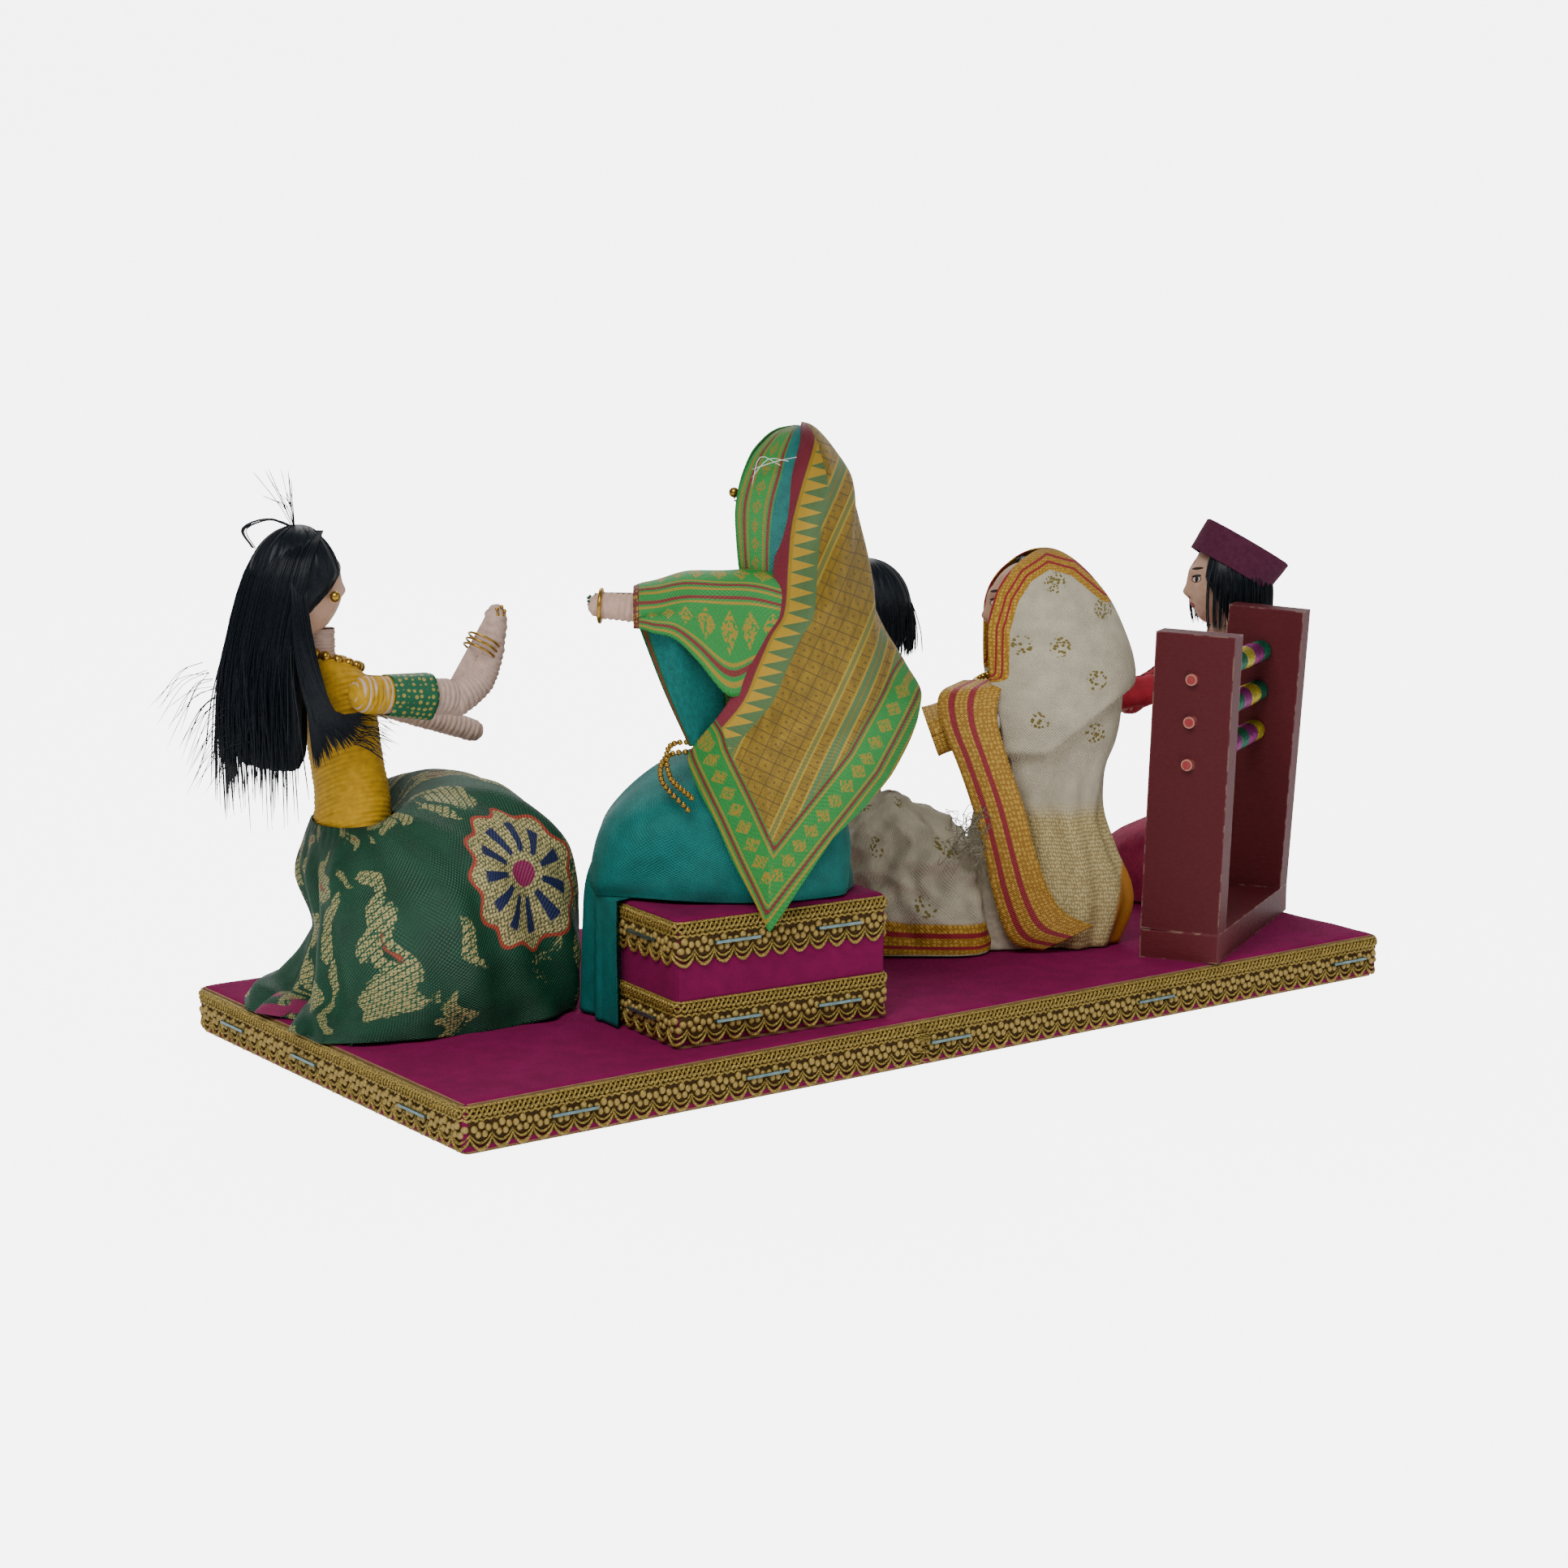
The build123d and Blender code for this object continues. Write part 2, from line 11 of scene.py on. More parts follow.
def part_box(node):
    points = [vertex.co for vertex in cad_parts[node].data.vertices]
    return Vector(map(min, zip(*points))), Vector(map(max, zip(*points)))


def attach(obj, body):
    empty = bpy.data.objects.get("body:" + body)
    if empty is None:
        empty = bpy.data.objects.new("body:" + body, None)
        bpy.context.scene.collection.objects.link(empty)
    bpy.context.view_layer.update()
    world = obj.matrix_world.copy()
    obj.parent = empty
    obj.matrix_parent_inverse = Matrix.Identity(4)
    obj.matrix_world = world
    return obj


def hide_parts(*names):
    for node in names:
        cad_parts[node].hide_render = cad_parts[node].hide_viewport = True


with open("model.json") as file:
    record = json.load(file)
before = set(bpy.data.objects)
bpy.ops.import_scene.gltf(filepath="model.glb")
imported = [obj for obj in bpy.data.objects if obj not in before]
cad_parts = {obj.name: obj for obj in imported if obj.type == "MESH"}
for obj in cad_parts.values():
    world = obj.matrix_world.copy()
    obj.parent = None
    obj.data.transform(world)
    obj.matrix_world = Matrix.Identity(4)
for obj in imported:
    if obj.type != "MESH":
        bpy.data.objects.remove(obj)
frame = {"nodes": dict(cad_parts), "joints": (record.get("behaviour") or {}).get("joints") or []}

bl_info = {
    "name": "Bangle ceremony doll tableau",
    "version": (1, 0, 0),
    "blender": (4, 5, 0),
    "location": "3D View > Sidebar > Tableau",
    "description": "Builds the cloth, thread, hair, lace and beads of a doll tableau",
    "category": "Object",
}

MM = 0.001
TURN = 6.2832
BOARD_TOP = 12.5
ROOT = "tableau"


# ---- colour and node helpers ------------------------------------------------------------

def linear(code):
    """An sRGB hex colour, or a linear colour as a setting holds it, as linear RGBA."""
    if not isinstance(code, str):
        return tuple(code)[:3] + (1.0,)
    parts = [int(code[i:i + 2], 16) / 255 for i in (0, 2, 4)]
    return tuple(c / 12.92 if c <= 0.04045 else ((c + 0.055) / 1.055) ** 2.4 for c in parts) + (1.0,)


def shade(colour, share):
    """A colour made darker or lighter."""
    return tuple(share * c for c in linear(colour)[:3]) + (1.0,)


def feed(tree, socket, value):
    """Gives a socket a value, a colour or a link; value may also be a function of the tree."""
    if callable(value):
        value = value(tree)
    if isinstance(value, bpy.types.NodeSocket):
        tree.links.new(value, socket)
    else:
        socket.default_value = linear(value) if socket.type == "RGBA" else value


def add(tree, kind, inputs=(), **settings):
    """Adds one node. kind is Name, Name.OPERATION or Name>Output; returns the output socket."""
    kind, _, output = kind.partition(">")
    kind, _, operation = kind.partition(".")
    node = tree.nodes.new("ShaderNode" + kind)
    if operation:
        node.operation = operation
    for key, value in settings.items():
        setattr(node, key, value)
    for key, value in (inputs.items() if isinstance(inputs, dict) else enumerate(inputs)):
        feed(tree, node.inputs[key], value)
    return node.outputs[output] if output else next(o for o in node.outputs if o.enabled)


def ramp(tree, factor, stops, interpolation="LINEAR"):
    """A colour ramp through (place, hex colour) stops."""
    socket = add(tree, "ValToRGB", {"Fac": factor})
    elements = socket.node.color_ramp.elements
    socket.node.color_ramp.interpolation = interpolation
    while len(elements) < len(stops):
        elements.new(1.0)
    for element, (place, colour) in zip(elements, stops):
        element.position = place
        element.color = linear(colour)
    return socket


def material(name, colour, roughness=0.6, metallic=0.0, bump=None, bump_mm=0.1, **sockets):
    """A material from a colour (hex or a function of the tree) and a height function."""
    made = bpy.data.materials.new(name)
    made.use_nodes = True
    tree = made.node_tree
    shader = tree.nodes["Principled BSDF"]
    for socket, value in (("Base Color", colour), ("Roughness", roughness), ("Metallic", metallic)):
        feed(tree, shader.inputs[socket], value)
    if bump:
        normal = add(tree, "Bump", {"Height": bump(tree), "Strength": 1.0, "Distance": bump_mm * MM})
        tree.links.new(normal, shader.inputs["Normal"])
    if not metallic:
        shader.inputs["Specular IOR Level"].default_value = 0.2
    for socket, value in sockets.items():
        feed(tree, shader.inputs[socket.replace("_", " ").title()], value)
    return made


def mottled(name, size_mm, dark, lit, roughness, metallic=0.0, detail=4.0, **rest):
    """A material whose colour varies between dark and lit in patches of the given size."""
    return material(name, lambda t: speckle(t, size_mm, dark, lit, detail), roughness, metallic, **rest)


def between(first, second, share):
    """The colour that lies a share of the way from first to second."""
    return tuple(a + (b - a) * share for a, b in zip(linear(first), linear(second)))


def speckle(tree, size_mm, low, high, detail=4.0, source="Object"):
    """Cloudy variation between two colours, with patches of the given size."""
    low, high = between(low, high, 0.28), between(low, high, 0.72)
    place = add(tree, "TexCoord>" + source)
    unit = 1 / (size_mm * (MM if source == "Object" else 1))
    cloud = add(tree, "TexNoise", {"Vector": place, "Scale": unit, "Detail": detail})
    return ramp(tree, cloud, ((0.35, low), (0.68, high)))


def grain(size_mm, stretch=(1, 1, 1)):
    """A height function: fine noise of the given size, stretched along an axis."""
    def height(tree):
        moved = add(tree, "Mapping", {"Vector": add(tree, "TexCoord>Object"), "Scale": stretch})
        return add(tree, "TexNoise", {"Vector": moved, "Scale": 1 / (size_mm * MM), "Detail": 3.0})
    return height


def map_xy(tree, name=None):
    """The two coordinates of the cloth's own map, or of the named one."""
    place = add(tree, "UVMap>UV", uv_map=name) if name else add(tree, "TexCoord>UV")
    node = add(tree, "SeparateXYZ", {0: place}).node
    return node.outputs["X"], node.outputs["Y"]


def weave(thread_mm):
    """A height function: warp and weft threads of a plain weave, on the cloth's own map."""
    def height(tree):
        turn = math.pi / thread_mm
        warp, weft = (add(tree, "Math.SINE", (add(tree, "Math.MULTIPLY", (across, turn)),))
                      for across in map_xy(tree))
        return add(tree, "Math.MULTIPLY", (warp, weft))
    return height


# ---- mesh helpers -----------------------------------------------------------------------

def spline(points, t):
    """The point at t (0 to 1) on a smooth curve through all the points."""
    count = len(points) - 1
    at = min(max(t, 0.0), 1.0) * count
    i = min(int(at), count - 1)
    f = at - i
    p1, p2 = Vector(points[i]), Vector(points[i + 1])
    p0 = Vector(points[i - 1]) if i else p1 * 2 - p2
    p3 = Vector(points[i + 2]) if i + 2 <= count else p2 * 2 - p1
    return 0.5 * (2 * p1 + (p2 - p0) * f + (2 * p0 - 5 * p1 + 4 * p2 - p3) * f * f
                  + (3 * p1 - p0 - 3 * p2 + p3) * f ** 3)


def curve(stops, t):
    """A number at t on a smooth curve through (place, value) stops."""
    if t <= stops[0][0]:
        return stops[0][1]
    if t >= stops[-1][0]:
        return stops[-1][1]
    i = next(k for k in range(len(stops) - 1) if t <= stops[k + 1][0])
    (a, low), (b, high) = stops[i], stops[i + 1]
    (before, first), (after, last) = stops[max(i - 1, 0)], stops[min(i + 2, len(stops) - 1)]
    f, wide = (t - a) / (b - a), b - a
    lead, trail = (high - first) / (b - before) * wide, (last - low) / (after - a) * wide
    return (low * (1 + 2 * f) * (1 - f) ** 2 + lead * f * (1 - f) ** 2
            + high * f * f * (3 - 2 * f) + trail * f * f * (f - 1))


def straight(stops, t):
    """A number at t on straight lines between (place, value) stops."""
    for (a, low), (b, high) in zip(stops, stops[1:]):
        if t <= b:
            return low + (high - low) * max(0.0, (t - a) / (b - a))
    return stops[-1][1]


def net(rows):
    """A smooth surface through rows of points: a function of u along a row and v across rows."""
    def at(u, v):
        return spline([spline(row, u) for row in rows], v)
    return at


def outward(u, lift=0.0):
    """The level way out at u of a full turn, tipped up by lift."""
    return Vector((math.cos(TURN * u), math.sin(TURN * u), lift))


def ring_net(rings):
    """A smooth closed surface through rings of points: u goes round a ring, v across rings."""
    loops = [[Vector(p) for p in (ring[-2:] + ring + ring[:3])] for ring in rings]
    count = len(rings[0])

    def at(u, v):
        place = (2 + (u % 1.0) * count) / (count + 4)
        return spline([spline(loop, place) for loop in loops], v)
    return at


def sheet_mesh(shape, nu, nv, uv=None, closed=False, charts=None):
    """A grid of nu by nv faces laid on shape(u, v), mapped in millimetres by uv(u, v).
    charts are more maps, each a function of the place on the cloth."""
    bm = bmesh.new()
    bmesh.ops.create_grid(bm, x_segments=nu, y_segments=nv, size=0.5)
    layer = bm.loops.layers.uv.new("cloth")
    for face in bm.faces:
        for loop in face.loops:
            u, v = loop.vert.co.x + 0.5, loop.vert.co.y + 0.5
            loop[layer].uv = uv(u, v) if uv else (u, v)
    for name, chart in (charts or {}).items():
        extra = bm.loops.layers.uv.new(name)
        for face in bm.faces:
            for loop in face.loops:
                loop[extra].uv = chart(loop.vert.co.x + 0.5, loop.vert.co.y + 0.5)
    for vert in bm.verts:
        vert.co = shape(vert.co.x + 0.5, vert.co.y + 0.5)
    if closed:
        bmesh.ops.remove_doubles(bm, verts=bm.verts, dist=0.001)
    return bm


def tube_mesh(path, radius, rows, sides):
    """A closed tube along path (a list of points), with radius(t, angle)."""
    points = [spline(path, i / rows) for i in range(rows + 1)]
    frames = []
    side = Vector((0, 0, 1))
    for i, point in enumerate(points):
        ahead = points[min(i + 1, rows)] - points[max(i - 1, 0)]
        ahead.normalize()
        if i == 0 and abs(ahead.z) > 0.9:
            side = Vector((1, 0, 0))
        side = (side - ahead * side.dot(ahead)).normalized()
        frames.append((point, side.copy(), ahead.cross(side)))
    length = sum((b - a).length for a, b in zip(points, points[1:]))

    def shape(u, v):
        point, out, across = frames[round(v * rows)]
        angle = 2 * math.pi * u
        return point + (out * math.cos(angle) + across * math.sin(angle)) * radius(v, angle)

    bm = sheet_mesh(shape, sides, rows, lambda u, v: (u * 20, v * length), closed=True)
    bmesh.ops.holes_fill(bm, edges=[e for e in bm.edges if e.is_boundary], sides=0)
    return bm


def wound(thread, depth, swell=0.05, seed=0):
    """Ridge height of a limb wound with thread of the given width, along in millimetres."""
    def ridge(along, angle):
        turn = along / thread + angle / (2 * math.pi)
        wave = abs(math.sin(math.pi * turn))
        lumps = noise.noise(Vector((math.floor(turn) * 1.7, seed, math.cos(angle))))
        return depth * wave + swell * lumps
    return ridge


def wound_mesh(path, radii, thread=0.9, depth=0.16, swell=0.25, sides=40, seed=0):
    """A limb along path, wound with thread; radii are (place, radius) stops."""
    length = sum((Vector(b) - Vector(a)).length for a, b in zip(path, path[1:]))
    ridge = wound(thread, depth, swell, seed)
    rows = max(12, int(length / thread * 5))
    return tube_mesh(path, lambda t, a: curve(radii, t) + ridge(t * length, a), rows, sides)


def join(meshes):
    """One bmesh out of several."""
    whole = bmesh.new()
    for bm in meshes:
        holder = bpy.data.meshes.new("holder")
        bm.to_mesh(holder)
        bm.free()
        whole.from_mesh(holder)
        bpy.data.meshes.remove(holder)
    return whole


def beads_mesh(places, radius, detail=2):
    """Round beads at the given places."""
    bm = bmesh.new()
    for place in places:
        bmesh.ops.create_icosphere(bm, subdivisions=detail, radius=radius,
                                   matrix=Matrix.Translation(Vector(place)))
    return bm


def blob_mesh(centre, radii, rings, sides):
    """A ball stretched to three radii."""
    bm = bmesh.new()
    bmesh.ops.create_uvsphere(bm, u_segments=sides, v_segments=rings, radius=1.0)
    bmesh.ops.scale(bm, verts=bm.verts, vec=Vector(radii))
    bmesh.ops.translate(bm, verts=bm.verts, vec=Vector(centre))
    return bm


def strands_mesh(paths, radius, steps=14):
    """Many thin round strands, each a smooth line through its points."""
    line = bpy.data.curves.new("strands", "CURVE")
    line.dimensions = "3D"
    line.bevel_depth = radius
    line.bevel_resolution = 0
    line.use_fill_caps = True
    for path in paths:
        track = line.splines.new("POLY")
        track.points.add(steps)
        for i in range(steps + 1):
            track.points[i].co = (*spline(path, i / steps), 1.0)
            track.points[i].radius = 1.0 if i < steps else 0.3
    holder = bpy.data.objects.new("strands", line)
    bpy.context.scene.collection.objects.link(holder)
    bpy.context.view_layer.update()
    mesh = bpy.data.meshes.new_from_object(holder)
    bpy.data.objects.remove(holder)
    bm = bmesh.new()
    bm.from_mesh(mesh)
    bpy.data.meshes.remove(mesh)
    return bm


def piece(bm, name, finish, place=None, body=ROOT, replaces=None, thickness=0.0):
    """Turns a bmesh in millimetres into a finished object that rides on its body."""
    if place is not None:
        bmesh.ops.transform(bm, matrix=place, verts=bm.verts)
    bmesh.ops.scale(bm, vec=Vector((MM,) * 3), verts=bm.verts)
    bmesh.ops.recalc_face_normals(bm, faces=bm.faces)
    for face in bm.faces:
        face.smooth = True
    mesh = bpy.data.meshes.new(name)
    bm.to_mesh(mesh)
    bm.free()
    obj = bpy.data.objects.new(name, mesh)
    bpy.context.scene.collection.objects.link(obj)
    mesh.materials.append(finish)
    if thickness:
        solid = obj.modifiers.new("thickness", "SOLIDIFY")
        solid.thickness = thickness * MM
        solid.offset = 0.0
    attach(obj, body)
    if replaces:
        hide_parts(replaces)
    return obj


def doll_place(x, y, z, turn):
    """A doll's own frame: x forwards, y to its left, z up from its seat, in millimetres."""
    return Matrix.Translation((x, y, z)) @ Matrix.Rotation(math.radians(turn), 4, "Z")


# ---- base, stool and rack ---------------------------------------------------------------

def folded_cover(width, depth, drop, name, finish, place, lumps, step=2.5):
    """A cloth laid on a block's top and turned down its four sides by drop."""
    full_w, full_d = width + 2 * drop, depth + 2 * drop

    def shape(u, v):
        s, t = (u - 0.5) * full_w, (v - 0.5) * full_d
        over_x, over_y = max(abs(s) - width / 2, 0), max(abs(t) - depth / 2, 0)
        x = math.copysign(min(abs(s), width / 2), s)
        y = math.copysign(min(abs(t), depth / 2), t)
        rise = lumps * noise.noise(Vector((s / 9, t / 9, 0.3))) if not (over_x or over_y) else 0
        return Vector((x, y, rise - max(over_x, over_y)))

    bm = sheet_mesh(shape, round(full_w / step), round(full_d / step),
                    lambda u, v: (u * full_w, v * full_d))
    obj = piece(bm, name, finish, place, thickness=0.5)
    soften = obj.modifiers.new("soft edge", "SMOOTH")
    soften.factor, soften.iterations = 0.5, 1
    return obj, (full_w * MM, full_d * MM)


def rim(width, depth, corner, start):
    """Walks round a rounded rectangle: a function of distance giving place and outward side."""
    straight_x, straight_y = width - 2 * corner, depth - 2 * corner
    arc = corner * math.pi / 2
    total = 2 * (straight_x + straight_y) + 4 * arc
    legs = ((straight_x, (-1, -1), 0), (straight_y, (1, -1), 90),
            (straight_x, (1, 1), 180), (straight_y, (-1, 1), 270))

    def at(distance):
        left = (distance + start) % total
        for length, (sx, sy), turn in legs:
            angle = math.radians(turn)
            ahead = Vector((math.cos(angle), math.sin(angle), 0))
            out = Vector((ahead.y, -ahead.x, 0))
            centre = Vector((sx * (width / 2 - corner), sy * (depth / 2 - corner), 0))
            if left <= length:
                return centre + ahead * left + out * corner, out
            left -= length
            if left <= arc:
                bend = angle - math.pi / 2 + left / corner
                out = Vector((math.cos(bend), math.sin(bend), 0))
                return centre + ahead * length + out * corner, out
            left -= arc
        return centre, out
    return at, total


def lace_units(total, pitch, height):
    """Lace in flat strip coordinates: x along, y outward, z up. Returns cords and beads."""
    units = round(total / pitch)
    pitch = total / units
    cords, beads = [], bmesh.new()

    def strand(function, radius, rows):
        def shape(u, v):
            x, y, z = function(v * total)
            angle = 2 * math.pi * u
            return Vector((x, y + radius * math.cos(angle), z + radius * math.sin(angle)))
        cords.append(sheet_mesh(shape, 6, rows, lambda u, v: (u * 4, v * total), closed=True))

    for phase in (0, math.pi):
        strand(lambda s: (s, 0.55 + 0.25 * math.sin(4 * math.pi * s / pitch + phase + 1.57),
                          height * 0.84 + 0.9 * math.sin(4 * math.pi * s / pitch + phase)),
               0.5, units * 16)
    strand(lambda s: (s, 0.35, height * 0.96), 0.36, units * 4)
    strand(lambda s: (s, 0.45, height * 0.69 + 0.25 * math.sin(6 * math.pi * s / pitch)), 0.42,
           units * 12)
    for y, low, share, power, radius, rows in ((0.45, 0.75, 0.25, 0.7, 0.52, 12),
                                               (0.4, 2.3, 0.19, 0.8, 0.34, 10)):
        strand(lambda s: (s, y, low + height * share * (1 - abs(math.sin(math.pi * s / pitch)) ** power)),
               radius, units * rows)
    for i in range(units):
        for side, rise, big in ((-0.33, 0.5, 1.0), (0.0, 0.57, 1.1), (0.33, 0.5, 1.0),
                                (-0.16, 0.38, 0.95), (0.16, 0.38, 0.95)):
            bean = bmesh.ops.create_uvsphere(beads, u_segments=7, v_segments=5, radius=big)["verts"]
            bmesh.ops.scale(beads, verts=bean, vec=Vector((0.85, 0.7, 0.95)))
            bmesh.ops.translate(beads, verts=bean, vec=Vector(
                ((i + 0.5 + side) * pitch, 0.5, height * rise)))
    return join(cords), beads


def lace_band(name, block, size, look, finishes, start):
    """A band of lace stretched round a block, with a dark sheet behind it: painted shade seen through the
    lace.
    """
    width, depth, corner, height = size
    cord, satin, shade_backing = finishes
    at, total = rim(width, depth, corner, start)

    def wrap(bm):
        for vert in bm.verts:
            place, out = at(vert.co.x)
            wobble = 0.18 * noise.noise(Vector((vert.co.x / 11, 3.1, 0.0)))
            vert.co = place + out * (vert.co.y + wobble) + Vector((0, 0, vert.co.z))
        return bm

    cords, beads = lace_units(total, look.lace_pitch / MM, height)
    rows = round(total / 1.4)
    # A dark sheet just behind the lace; its colour is painted shade for the gaps between the threads.
    shade_ribbon = sheet_mesh(lambda u, v: Vector((v * total, 0.12, 1.7 + u * (height - 2.0))), 3, rows,
                        lambda u, v: (u * height, v * total))
    shade_ribbon = piece(wrap(shade_ribbon), name + "_ribbon", shade_backing, block, replaces=name,
                   thickness=0.2)
    threads = piece(wrap(cords), name + "_cords", cord, block)
    satins = piece(wrap(beads), name + "_satin", satin, block)


def frayed_join(place, cord):
    """The loose end of the base's lace, where its two ends overlap."""
    rng = random.Random(3)
    paths = []
    for _ in range(26):
        start = Vector((0, 0.4, rng.uniform(1.5, 11)))
        sag = rng.uniform(-1.4, 0.6)
        paths.append([start, start + Vector((rng.uniform(1.2, 2.6), rng.uniform(0.3, 1.1), sag * 0.4)),
                      start + Vector((rng.uniform(2.6, 5.2), rng.uniform(-0.2, 1.0), sag))])
    flip = Matrix.Scale(-1, 4, (0, 1, 0))
    piece(strands_mesh(paths, 0.13, 6), "base_lace_frayed_end", cord, place @ flip)


def velvet_finish(name, colour):
    """Short-piled velvet, a little lighter at its rims."""
    return mottled(name, 5.0, shade(colour, 0.6), colour, 0.95, detail=5.0, bump=grain(0.35),
                   bump_mm=0.12, Sheen_Weight=0.05, Sheen_Roughness=0.3, Sheen_Tint="B03080")


def cord_finish(name, lit, size_mm=0.35):
    """Twisted metallic thread: fine slanting light and dark strands."""
    def colour(tree):
        place = add(tree, "Mapping", {"Vector": add(tree, "TexCoord>Object"),
                                      "Scale": (1, 1, 2.2), "Rotation": (0.5, 0.4, 0.6)})
        cloud = add(tree, "TexNoise", {"Vector": place, "Scale": 1 / (size_mm * MM), "Detail": 2.0})
        return ramp(tree, cloud, ((0.4, shade(lit, 0.13)), (0.62, lit)))
    return material(name, colour, 0.42, 0.35, bump=grain(size_mm, (1, 1, 2.2)), bump_mm=0.12)


def lace_finishes(cord, satin, shade_backing, look):
    """The three materials of a lace band, by their names: cords, satin beads and the painted shade behind
    the lace.
    """
    # The third finish, dark brown, is painted shade for what is seen between the lace's threads.
    return (cord_finish(cord, look.gold_cord),
            mottled(satin, 0.8, "86702E", "C4A860", 0.34, 0.25, bump=grain(0.25, (1, 1, 5)), bump_mm=0.06),
            mottled(shade_backing, 0.6, "2A1A10", "5C4420", 0.85))


LACE_JOIN = 19.0


def build_base(look):
    velvet = velvet_finish("magenta velvet pile", look.velvet)
    # Plywood, unpainted, seen only at the very bottom edge.
    dress(("base_board",), mottled("plywood", 3.0, "8A6A48", "B89468", 0.8, bump=grain(1.2, (8, 1, 8)),
                                   bump_mm=0.1))
    (x0, y0, z0), (x1, y1, z1) = span("base_velvet")
    cover, flat = folded_cover(x1 - x0 - 0.5, y1 - y0 - 0.5, z1 - z0 - 0.9, "base_velvet_cover",
                               velvet, Matrix.Translation((0, 0, z1 - 0.25)), 0.2)
    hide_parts("base_velvet")
    finishes = lace_finishes("gold zari cord", "satin lace bead", "shadowed lace net", look)
    (x0, y0, z0), (x1, y1, z1) = span("base_lace")
    thick = 1.3
    size = (x1 - x0 - 2 * thick, y1 - y0 - 2 * thick, 2.2, z1 - z0)
    lace_band("base_lace", Matrix.Translation((0, 0, z0)), size, look, finishes,
              (x1 - x0) / 2 - LACE_JOIN)
    frayed_join(Matrix.Translation((-LACE_JOIN, y0 + 1.0, z0)), finishes[0])
    # Bright galvanised wire, bent cold.
    dress(("staples",), mottled("galvanised staple wire", 1.5, "4A6468", "90ACB0", 0.32, 0.9))
    dress(("neck_wires",), material("dull steel wire", "6A6A66", 0.45, 0.9))


def span(node):
    """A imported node's two corners in millimetres."""
    low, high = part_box(node)
    return Vector(low) / MM, Vector(high) / MM


def dress(nodes, finish):
    """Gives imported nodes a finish."""
    for name in nodes:
        data = frame["nodes"][name].data
        data.materials.clear()
        data.materials.append(finish)


STOOL_PLACE = doll_place(-53.0, -46.4, BOARD_TOP, -3.9)
STOOL_SIZE = (60.0, 30.6, 32.5)


def build_stool(look):
    # The same velvet as the base, made 15% darker: painted shade.
    velvet = velvet_finish("stool velvet in painted shade", shade(look.velvet, 0.85))
    width, depth, height = STOOL_SIZE
    cover, flat = folded_cover(width + 0.6, depth + 0.6, height - 0.5, "stool_velvet_cover", velvet,
                               STOOL_PLACE @ Matrix.Translation((0, 0, height + 0.25)), 0.15, 1.5)
    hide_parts("stool_velvet")
    dress(("stool_block",), mottled("stool block pine", 4, "9A7A50", "C0A070", 0.8))
    # The lace net's dark colour is painted shade, as on the base.
    finishes = lace_finishes("stool zari cord", "stool satin bead", "stool lace net in painted shade", look)
    for name, start in (("stool_lace_lower", 12.0), ("stool_lace_upper", 31.0)):
        low, high = span(name)
        size = (width + 1.2, depth + 1.2, 1.4, high.z - low.z)
        lace_band(name, STOOL_PLACE @ Matrix.Translation((0, 0, low.z - BOARD_TOP)), size, look,
                  finishes, start)


def chipped_paint(name, paint, edge, wood, wear=0.5):
    """Brush-painted wood: paler where the corners are rubbed, bare where it has chipped."""
    def colour(tree):
        place = add(tree, "TexCoord>Object")
        corner = add(tree, "Bevel", {"Radius": 1.0 * MM})
        turned = add(tree, "VectorMath.DOT_PRODUCT>Value",
                     (corner, add(tree, "NewGeometry>Normal")))
        rubbed = add(tree, "MapRange", {"Value": turned, "From Min": 0.995, "From Max": 0.8})
        patches = add(tree, "TexNoise", {"Vector": place, "Scale": 1 / (4.0 * MM), "Detail": 6.0})
        amount = add(tree, "Math.MULTIPLY", (rubbed, patches))
        worn = add(tree, "MapRange", {"Value": amount, "From Min": 0.18, "From Max": 0.34})
        bare = add(tree, "MapRange", {"Value": amount, "From Min": wear, "From Max": wear + 0.04})
        dust = speckle(tree, 1.2, paint, edge, 6.0)
        second = mix(tree, worn, mix(tree, 0.2, paint, dust), edge)
        return mix(tree, bare, second, wood)
    return material(name, colour, 0.5, bump=grain(2.0, (1, 1, 4)), bump_mm=0.08)


def mix(tree, factor, first, second, blend="MIX"):
    """A colour mix; each side is a colour or a socket."""
    node = tree.nodes.new("ShaderNodeMix")
    node.data_type, node.blend_type = "RGBA", blend
    for index, value in ((0, factor), (6, first), (7, second)):
        feed(tree, node.inputs[index], value)
    return node.outputs[2]


ROLLS = (("bangles_bottom", ("C8B830", "9A2A80", "C8B830", "9A2A80", "0A6E50", "9A2A80", "C8B830")),
         ("bangles_middle", ("0A6E50", "C8B830", "9A2A80", "0A6E50", "9A2A80", "C8B830", "0A6E50")),
         ("bangles_top", ("9A2A80", "0A6E50", "C8B830", "0A6E50", "C8B830", "9A2A80", "0A7A58")))


